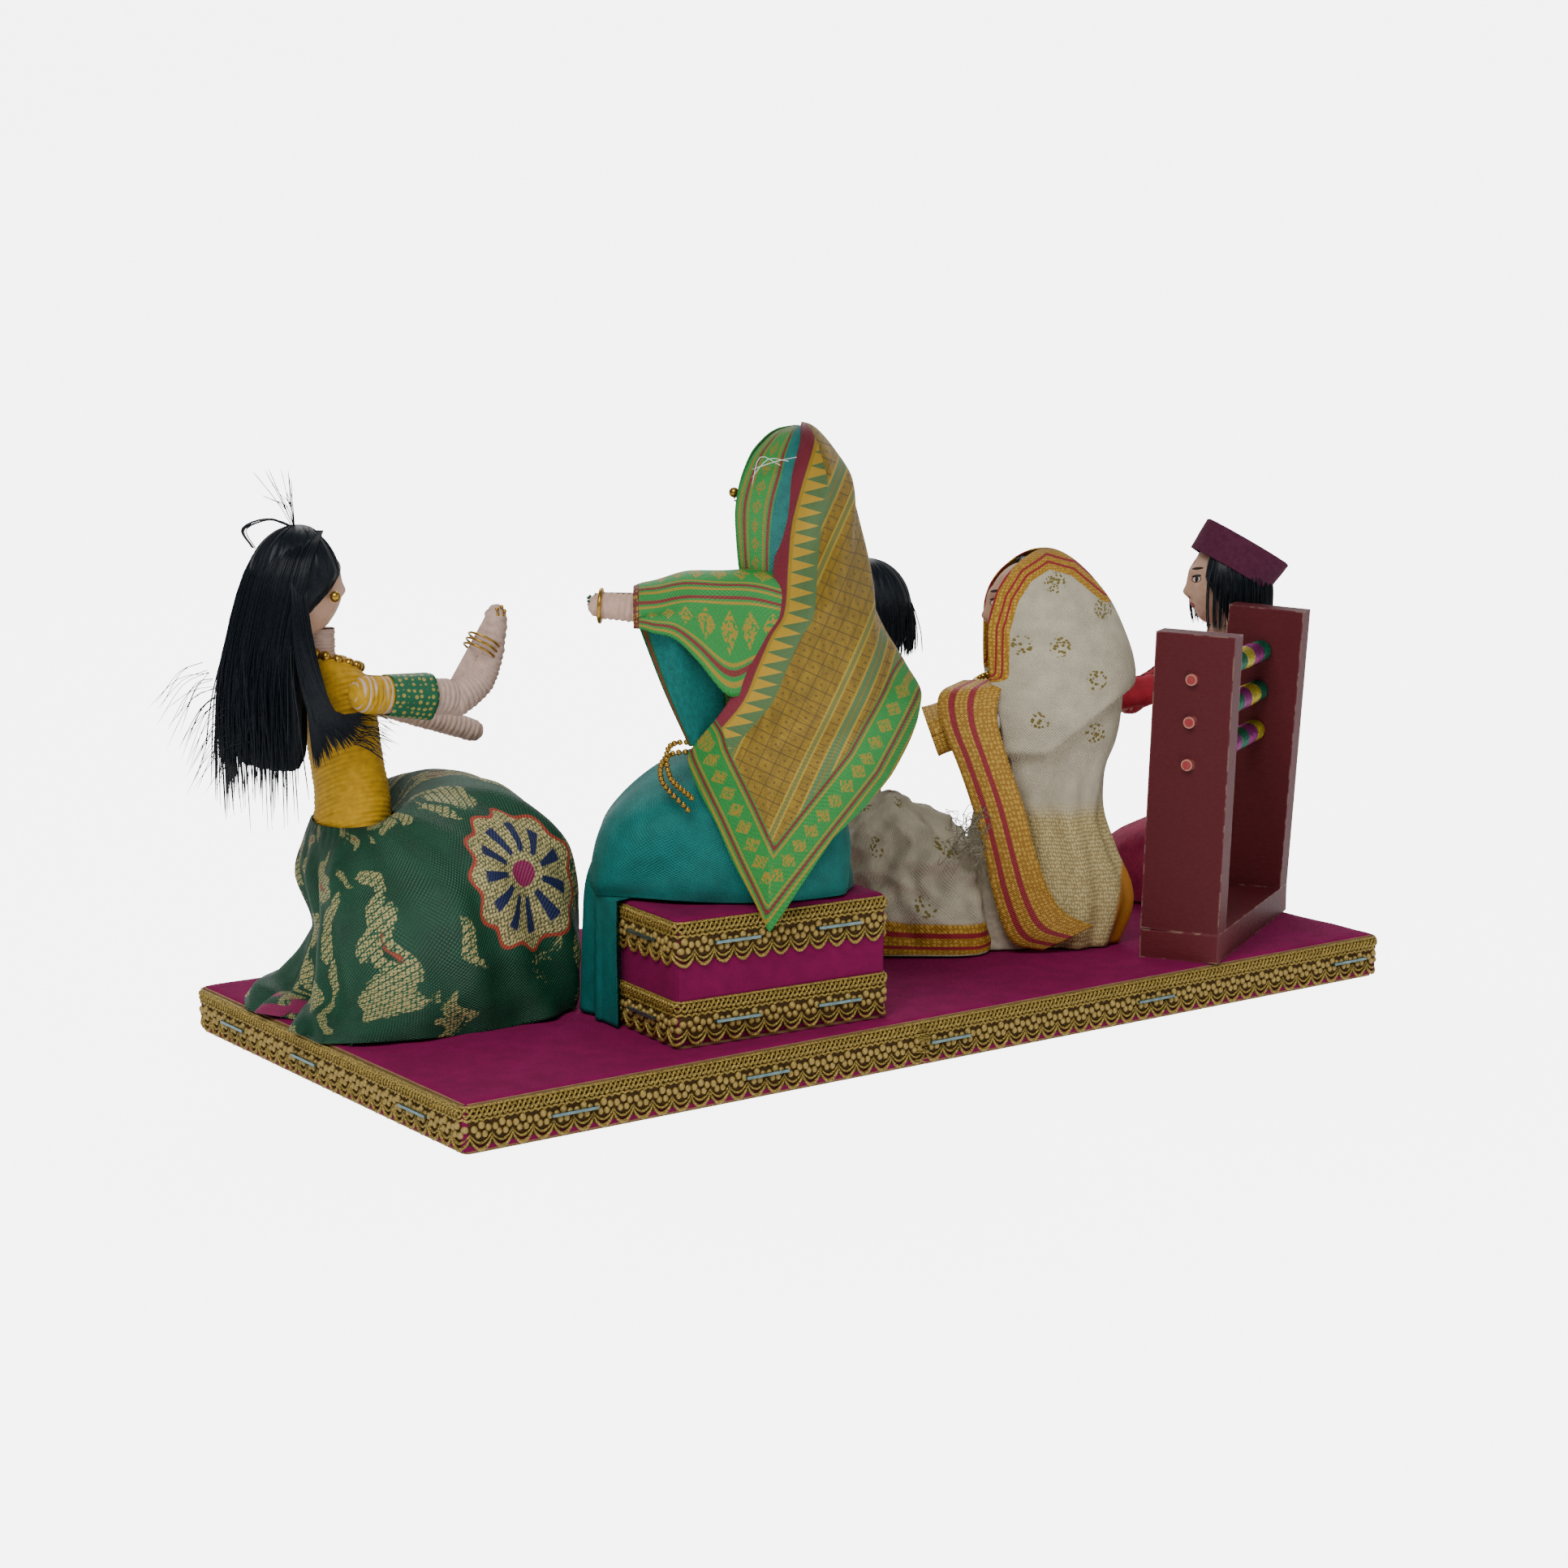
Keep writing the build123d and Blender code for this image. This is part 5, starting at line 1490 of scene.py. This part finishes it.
    piece(join([strands_mesh(wool, 0.2, 8), blob_mesh(start + along * 12, (9, 5.6, 5.6), 14, 20)]),
          "aunt_stuffing", mottled("grey-white cotton stuffing", 1.0, "A8A8A4", "E4E4E0", 0.95,
                                   bump=grain(0.4), bump_mm=0.3), AUNT,
          replaces="aunt_sleeve_stuffing")

    # The lap: cream cloth bundled over the knees, with its border turned out at the floor.
    mound = ring_net([
        [(38, 3, 44), (37.5, 4, 44), (36.5, 4.2, 44), (35.5, 4, 44),
         (35, 3, 44), (35.5, 2, 44), (36.5, 1.8, 44), (37.5, 2, 44)],
        [(47, 4, 41), (44, 11, 40), (36, 12, 42), (29, 9, 41),
         (27, 2, 40), (30, -5, 40), (37, -7, 42), (44, -4, 41)],
        [(50, 4, 34), (45, 16, 31), (33, 17, 30), (18, 14, 29),
         (14, 2, 30), (18, -10, 30), (33, -12, 32), (46, -8, 33)],
        [(50, 3, 18), (44, 17, 17), (31, 19, 15), (14, 16, 14),
         (10, 2, 14), (14, -12, 14), (30, -14, 15), (45, -11, 17)],
        [(52, 3, 4), (46, 18, 3), (30, 20.5, 2.5), (12, 18, 2),
         (8, 2, 2), (13, -14, 2), (30, -16, 2.5), (46, -12, 3)],
        [(51, 3, 0.7), (45, 18, 0.7), (30, 21, 0.7), (12, 19, 0.7),
         (8, 2, 0.7), (13, -14, 0.7), (30, -16, 0.7), (46, -12, 0.7)]])

    def bundle(u, v):
        p = mound(u, v)
        n = noise.noise(p * 0.09) * 3.6 + noise.noise(p * 0.2 + Vector((5, 0, 0))) * 2.2
        n += abs(noise.noise(p * 0.13 + Vector((0, 9, 0)))) * -3.0 + 0.8
        r = math.sin(38 * u + 11 * v + 4 * noise.noise(p * 0.08)) * 0.7
        return p + outward(u, 0.35) * (n + r) * math.sin(math.pi * min(v * 1.1 + 0.05, 1)) * 0.9

    def lap_cloth(tree):
        x, y = map_xy(tree)
        spots = [(14 + 24 * i + 9 * (j % 2), 10 + 13 * j) for i in range(6) for j in range(3)]
        value = buti_cloth(tree, shade(look.aunt_cream, 0.5), look.aunt_cream, spots, x, y)
        return mix(tree, band(tree, y, 40, 56, 0.3), value,
                   lined_gold(tree, add(tree, "Math.SUBTRACT", (y, 40.0)), 11.0))
    knees = material("cream silk over the knees", lap_cloth, 0.6, bump=weave(0.45), bump_mm=0.08)
    cloth_piece(bundle, 190, 80, "aunt_lap_cloth", knees, AUNT,
                replaces="aunt_sari_lap",
                closed=True)
    tangle = []
    for _ in range(60):
        c = Vector((rng.gauss(16, 1.8), 20.2 + rng.uniform(0, 1.6), rng.gauss(34, 4.5)))
        near = Vector([rng.uniform(-4, 4), rng.uniform(-0.6, 1.0), rng.uniform(-4, 4)])
        tip = Vector([rng.uniform(-5, 5), rng.uniform(0, 1.4), rng.uniform(-6, 4)])
        tangle.append([c, c + near, c + tip])
    piece(strands_mesh(tangle, 0.12, 8), "aunt_zari_tangle",
          mottled("silver-grey zari thread", 0.6, "6A6658", "B0AA90", 0.35, 0.6), AUNT)


# ---- the seller -------------------------------------------------------------------------

def mound_cloth(sections, amount, seed):
    """Folds for a cloth heaped round a seated doll's legs."""
    low, high = sections[0][2], sections[-1][2]

    def offset(angle, z):
        share = 1 - (z - low) / (high - low)
        wave = (math.sin(9 * angle + seed + 1.5 * math.sin(2 * angle))
                + 0.5 * math.sin(21 * angle + z * 0.2))
        lump = noise.noise(Vector((math.cos(angle) * 2, math.sin(angle) * 2, z * 0.08 + seed)))
        return amount * share * wave * 0.6 + amount * lump - amount * 0.5
    return body_shape(sections, offset)


def build_seller(look):
    head = (-9.0, 0.0, 95.0)
    red = mottled("red cotton", 3.0, shade(look.seller_red, 0.5), look.seller_red, 0.7,
                  bump=grain(0.5), bump_mm=0.12)
    skin = skin_finish("skin thread of the seller", "A8806A", "CDAA94")
    torso = ((0, 0, 20, 10.6, 12.1), (-1, 0, 40, 9.2, 11.2), (-3, 0, 66, 8.7, 12.2),
             (-6, 0, 76.5, 5.2, 6.8))
    crease = lambda angle, z: 0.35 * math.sin(5 * angle + z * 0.18) * math.sin(z * 0.3) - 0.3
    piece(solid_body(torso, crease, 90, 70), "seller_kurta_cloth", red, SELLER,
          replaces="seller_kurta")
    neck_piece("seller", -8, 75, 83.6, skin, SELLER)
    piece(head_mesh(head), "seller_face", painted_face("seller face paint", "B08A70", "D6B098"),
          SELLER, "seller_head", "seller_head")
    hair = hair_finish("seller hair")
    line = lambda z: 0.85 if z > 3 else 0.85 + 0.05 * (3 - z)
    piece(cap_of_hair(head, line, 3, 2.2, -12.0), "seller_hair_cap", hair, SELLER, "seller_head",
          "seller_hair", thickness=0.5)
    rng = random.Random(31)
    bob = []
    for _ in range(look.strands // 2):
        turn = rng.uniform(0.95, 2 * math.pi - 0.95)
        c, s = math.cos(turn), math.sin(turn)
        out = rng.uniform(0.0, 1.3)
        bob.append([(head[0] + 8 * c, 7.5 * s, head[2] + 11.5),
                    (head[0] + (12.6 + out) * c, (12 + out) * s, head[2] + 3),
                    (head[0] + (13.4 + out) * c, (12.6 + out) * s, head[2] - 6),
                    (head[0] + (12.2 + out) * c, (11.6 + out) * s, head[2] - 11.5 - rng.uniform(0, 2.0))])
    piece(strands_mesh(bob, 0.17, 12), "seller_bob_strands", hair, SELLER, "seller_head")
    felt = mottled("maroon felt", 1.5, "45192C", "5E2A44", 0.95, detail=5.0, bump=grain(0.5),
                   bump_mm=0.15)
    seat = Matrix.Translation((head[0] - 1.5, 0, head[2] + 4.6)) @ Matrix.Rotation(
        math.radians(-30), 4, "Y")

    def crown(u, v):
        angle = 2 * math.pi * u
        ring = curve(((0.0, 1.0), (0.06, 1.0), (0.72, 1.0), (0.78, 0.96), (1.0, 0.0)), v)
        z = curve(((0.0, 0.0), (0.06, 0.4), (0.72, 9.2), (0.78, 9.7), (1.0, 9.9)), v)
        share = min(z / 9.6, 1)
        return seat @ Vector((-0.8 * share + (13.0 + 0.9 * share) * max(ring, 0) * math.cos(angle),
                              (12.4 - 3.2 * share) * max(ring, 0) * math.sin(angle), z))
    cap = sheet_mesh(crown, 72, 40, closed=True)
    piece(cap, "seller_felt_cap", felt, SELLER, "seller_head", "seller_cap",
          thickness=0.8)
    limb_piece("seller_sleeve_left", (-1, 16.3, 68), (35, 16, 63.2), 4.8, 4.6, red, SELLER,
               "seller_arm", "seller_arm_left", thread=5.0, depth=0.3)
    limb_piece("seller_hand_left", (35, 16, 63.2), (44.8, 15.9, 62), 3.7, 3.2, skin, SELLER,
               "seller_arm")
    limb_piece("seller_upper_sleeve_right", (-1, -16.3, 68), (16, -15, 58), 5.0, 4.6, red, SELLER,
               replaces="seller_arm_right", thread=5.0, depth=0.3)
    limb_piece("seller_forearm_right", (16, -15, 58), (34, -6, 60), 4.4, 3.0, skin, SELLER,
               replaces="seller_arm_right")
    shape = mound_cloth(
        ((9, -2, 0.6, 23.4, 18), (9, -2, 10, 22.4, 17.4), (6, -1, 19, 16, 15), (0, 0, 24, 11, 12.6)),
        1.3, 2)
    pink = mottled("pink-red cotton", 4.0, "8E2048", "B83A60", 0.7, bump=weave(0.5), bump_mm=0.1)
    cloth_piece(shape, 140, 40, "seller_lap_cloth", pink, SELLER,
                replaces="seller_lap",
                thickness=0.4, closed=True)


# ---- the friend -------------------------------------------------------------------------

def build_friend(look):
    head = (-4.0, 0.0, 90.5)
    skin = skin_finish("skin thread of the friend")
    pink = floss_finish("pink floss", "94305A", "C05880", 0.65, bump_mm=0.1)
    torso = ((0, 0, 30, 8.7, 9.7), (0, 0, 40, 7.7, 8.7), (-1, 0, 62, 7.2, 11.2),
             (-3, 0, 71.5, 4.7, 6.3))
    piece(solid_body(torso, floss(1.2, 0.3, 3.0, 9), 100, 70), "friend_body_floss", pink, FRIEND,
          replaces="friend_torso")
    neck_piece("friend", -3, 70, 79, skin, FRIEND)
    piece(head_mesh(head), "friend_face", painted_face("friend face paint", "C09A80", "D8B4A0"),
          FRIEND, "friend_head", "friend_head")
    hair = hair_finish("friend hair")
    piece(cap_of_hair(head, lambda z: 0.9 if z > 3 else 0.9 + 0.06 * (3 - z), 5, 2.2, -10.5),
          "friend_hair_cap", hair, FRIEND, "friend_head", "friend_hair", thickness=0.5)
    rng = random.Random(41)
    wisps = []
    for _ in range(look.strands // 2):
        turn = rng.uniform(0.95, 2 * math.pi - 0.95)
        c, s = math.cos(turn), math.sin(turn)
        out = rng.uniform(0.0, 1.6) + (rng.uniform(1, 4.5) if rng.random() < 0.1 else 0)
        wisps.append([(head[0] + 7 * c, 7 * s, head[2] + 12),
                      (head[0] + 12.8 * c, 12.2 * s, head[2] + 4),
                      (head[0] + (13.4 + out * 0.6) * c, (12.8 + out * 0.6) * s, head[2] - 5),
                      (head[0] + (12.4 + out) * c, (11.9 + out) * s, head[2] - 11 - rng.uniform(0, 1.8))])
    piece(strands_mesh(wisps, 0.17, 12), "friend_hair_strands", hair, FRIEND, "friend_head")
    for side, word in ((1, "left"), (-1, "right")):
        limb_piece("friend_arm_" + word, (-1, side * 14, 61), (25, side * 9, 46), 4.1, 2.7, skin,
                   FRIEND, replaces="friend_arms", seed=6)
    shape = mound_cloth(
        ((4, 0, 0.6, 18.4, 16.4), (4, 0, 20, 16.4, 14.4), (1, 0, 32, 10.5, 11), (0, 0, 38, 8.9, 9.9)),
        1.0, 6)
    plum = mottled("plum cotton", 3.0, "5A2650", "8A4478", 0.7, bump=weave(0.5), bump_mm=0.1)
    cloth_piece(shape, 120, 44, "friend_skirt_cloth", plum, FRIEND,
                replaces="friend_skirt",
                closed=True)


# ---- stage ------------------------------------------------------------------------------

CAMERA_EYE = (-482.6, -655.2, 205.5)
CAMERA_BACK = (-0.577, -0.798, 0.174)
CAMERA_LENS = 68.8


def build_stage(look):
    bm = bmesh.new()
    bmesh.ops.create_grid(bm, x_segments=60, y_segments=60, size=0.5)
    for vert in bm.verts:
        x, y = vert.co.x * 8.0, vert.co.y * 8.0
        bend = max(y * 0.8 + x * 0.58 - 1.2, 0.0)
        vert.co = Vector((x, y, bend * bend * 1.1))
    mesh = bpy.data.meshes.new("floor")
    bm.to_mesh(mesh)
    bm.free()
    for face in mesh.polygons:
        face.use_smooth = True
    floor = bpy.data.objects.new("floor", mesh)
    bpy.context.scene.collection.objects.link(floor)
    # Matt paper sweep, lit from behind so that it goes white without lighting the object much.
    seen = lambda t: add(t, "Math.MULTIPLY_ADD", (add(t, "LightPath>Is Camera Ray"), 5.0, 0.45))
    mesh.materials.append(material("white paper sweep", "F8F8F8", 0.9, Emission_Color="FFFFFF",
                                   Emission_Strength=seen))
    target = Vector((0, 0, 0.06))
    for name, place, size, power in (("key", (-0.9, -0.7, 1.25), 0.9, 19.0),
                                     ("fill", (0.7, -1.3, 0.7), 1.0, 3.5),
                                     ("rim", (0.5, 1.0, 1.1), 0.9, 7.0)):
        lamp = bpy.data.lights.new(name, "AREA")
        lamp.size, lamp.energy = size, power
        light = bpy.data.objects.new(name, lamp)
        light.location = place
        light.rotation_euler = (Vector(place) - target).to_track_quat("Z", "Y").to_euler()
        bpy.context.scene.collection.objects.link(light)
    world = bpy.data.worlds.new("studio")
    bpy.context.scene.world = world
    world.use_nodes = True
    world.node_tree.nodes["Background"].inputs["Color"].default_value = linear("F6F6F8")
    world.node_tree.nodes["Background"].inputs["Strength"].default_value = 0.18
    view = bpy.data.cameras.new("view")
    view.lens, view.sensor_width = CAMERA_LENS, 36.0
    view.clip_start, view.clip_end = 0.01, 30.0
    camera = bpy.data.objects.new("view", view)
    camera.location = Vector(CAMERA_EYE) * MM
    camera.rotation_euler = Vector(CAMERA_BACK).to_track_quat("Z", "Y").to_euler()
    bpy.context.scene.collection.objects.link(camera)
    bpy.context.scene.camera = camera


# ---- add-on -----------------------------------------------------------------------------

def colour_setting(name, description, code):
    """A colour the user can change in the panel."""
    return bpy.props.FloatVectorProperty(name=name, description=description, size=3, min=0.0, max=1.0,
                                         default=linear(code)[:3], subtype="COLOR")


class TableauSettings(bpy.types.PropertyGroup):
    lace_pitch: bpy.props.FloatProperty(
        name="Lace pitch", description="Width of one scallop of the gold lace",
        default=0.0056, min=0.003, max=0.02, subtype="DISTANCE", unit="LENGTH")
    strands: bpy.props.IntProperty(
        name="Hair strands", description="Number of combed strands on the girl's head",
        default=420, min=20, max=1200)
    hair_radius: bpy.props.FloatProperty(
        name="Hair radius", description="Half the thickness of one combed strand",
        default=0.00017, min=0.00005, max=0.001, precision=5, subtype="DISTANCE", unit="LENGTH")
    velvet: colour_setting("Velvet", "Pile of the base and the stool", "8E0C54")
    gold_cord: colour_setting("Gold cord", "Lit side of the lace's metallic thread", "CDAE52")
    rack_paint: colour_setting("Rack paint", "Brown-red paint of the bangle rack", "561A20")
    skin: colour_setting("Skin thread", "Lit side of the thread wound round the girl's arms", "E0C0B0")
    girl_yellow: colour_setting("Yellow floss", "Blouse of the girl", "E0AC20")
    girl_green: colour_setting("Green brocade", "Ground of the girl's skirt", "0C5034")
    bride_green: colour_setting("Sari border", "Green ground of the bride's border", "268A3A")
    bride_silk: colour_setting("Sari silk", "Teal silk of the bride's sari", "047A74")
    aunt_cream: colour_setting("Cream silk", "Sari of the older woman", "D6CCB2")
    seller_red: colour_setting("Red cotton", "Kurta of the bangle seller", "B42A3A")


class TABLEAU_OT_base(bpy.types.Operator):
    """Velvet, lace edge and staples of the plywood base"""
    bl_idname = "tableau.base"
    bl_label = "Base"

    def execute(self, context):
        build_base(context.scene.tableau)
        return {"FINISHED"}


class TABLEAU_OT_stool(bpy.types.Operator):
    """Velvet stool with its two bands of lace"""
    bl_idname = "tableau.stool"
    bl_label = "Stool"

    def execute(self, context):
        build_stool(context.scene.tableau)
        return {"FINISHED"}


class TABLEAU_OT_rack(bpy.types.Operator):
    """Painted rack with three rolls of foil bangles"""
    bl_idname = "tableau.rack"
    bl_label = "Bangle rack"

    def execute(self, context):
        build_rack(context.scene.tableau)
        return {"FINISHED"}


class TABLEAU_OT_girl(bpy.types.Operator):
    """Girl who is being fitted with bangles"""
    bl_idname = "tableau.girl"
    bl_label = "Girl"

    def execute(self, context):
        build_girl(context.scene.tableau)
        return {"FINISHED"}


class TABLEAU_OT_bride(bpy.types.Operator):
    """Bride in a green and gold sari on the stool"""
    bl_idname = "tableau.bride"
    bl_label = "Bride"

    def execute(self, context):
        build_bride(context.scene.tableau)
        return {"FINISHED"}


class TABLEAU_OT_aunt(bpy.types.Operator):
    """Older woman in a cream sari"""
    bl_idname = "tableau.aunt"
    bl_label = "Aunt"

    def execute(self, context):
        build_aunt(context.scene.tableau)
        return {"FINISHED"}


class TABLEAU_OT_seller(bpy.types.Operator):
    """Bangle seller in a red kurta and maroon cap"""
    bl_idname = "tableau.seller"
    bl_label = "Bangle seller"

    def execute(self, context):
        build_seller(context.scene.tableau)
        return {"FINISHED"}


class TABLEAU_OT_friend(bpy.types.Operator):
    """Friend who sits behind the others"""
    bl_idname = "tableau.friend"
    bl_label = "Friend"

    def execute(self, context):
        build_friend(context.scene.tableau)
        return {"FINISHED"}


class TABLEAU_OT_stage(bpy.types.Operator):
    """Floor, light and camera"""
    bl_idname = "tableau.stage"
    bl_label = "Stage"

    def execute(self, context):
        build_stage(context.scene.tableau)
        return {"FINISHED"}


STEPS = ("base", "stool", "rack", "girl", "bride", "aunt", "seller", "friend", "stage")


class TABLEAU_PT_panel(bpy.types.Panel):
    """The tableau's settings and pieces"""
    bl_idname = "TABLEAU_PT_panel"
    bl_label = "Tableau"
    bl_space_type = "VIEW_3D"
    bl_region_type = "UI"
    bl_category = "Tableau"

    def draw(self, context):
        for name in TableauSettings.__annotations__:
            self.layout.prop(context.scene.tableau, name)
        for name in STEPS:
            self.layout.operator("tableau." + name)


CLASSES = (TableauSettings, TABLEAU_OT_base, TABLEAU_OT_stool, TABLEAU_OT_rack, TABLEAU_OT_girl,
           TABLEAU_OT_bride, TABLEAU_OT_aunt, TABLEAU_OT_seller, TABLEAU_OT_friend, TABLEAU_OT_stage,
           TABLEAU_PT_panel)


def register():
    for cls in CLASSES:
        bpy.utils.register_class(cls)
    bpy.types.Scene.tableau = bpy.props.PointerProperty(type=TableauSettings)


def unregister():
    del bpy.types.Scene.tableau
    for cls in reversed(CLASSES):
        bpy.utils.unregister_class(cls)


def main():
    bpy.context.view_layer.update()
    register()
    for name in STEPS:
        getattr(bpy.ops.tableau, name)()


if __name__ == "__main__":
    main()
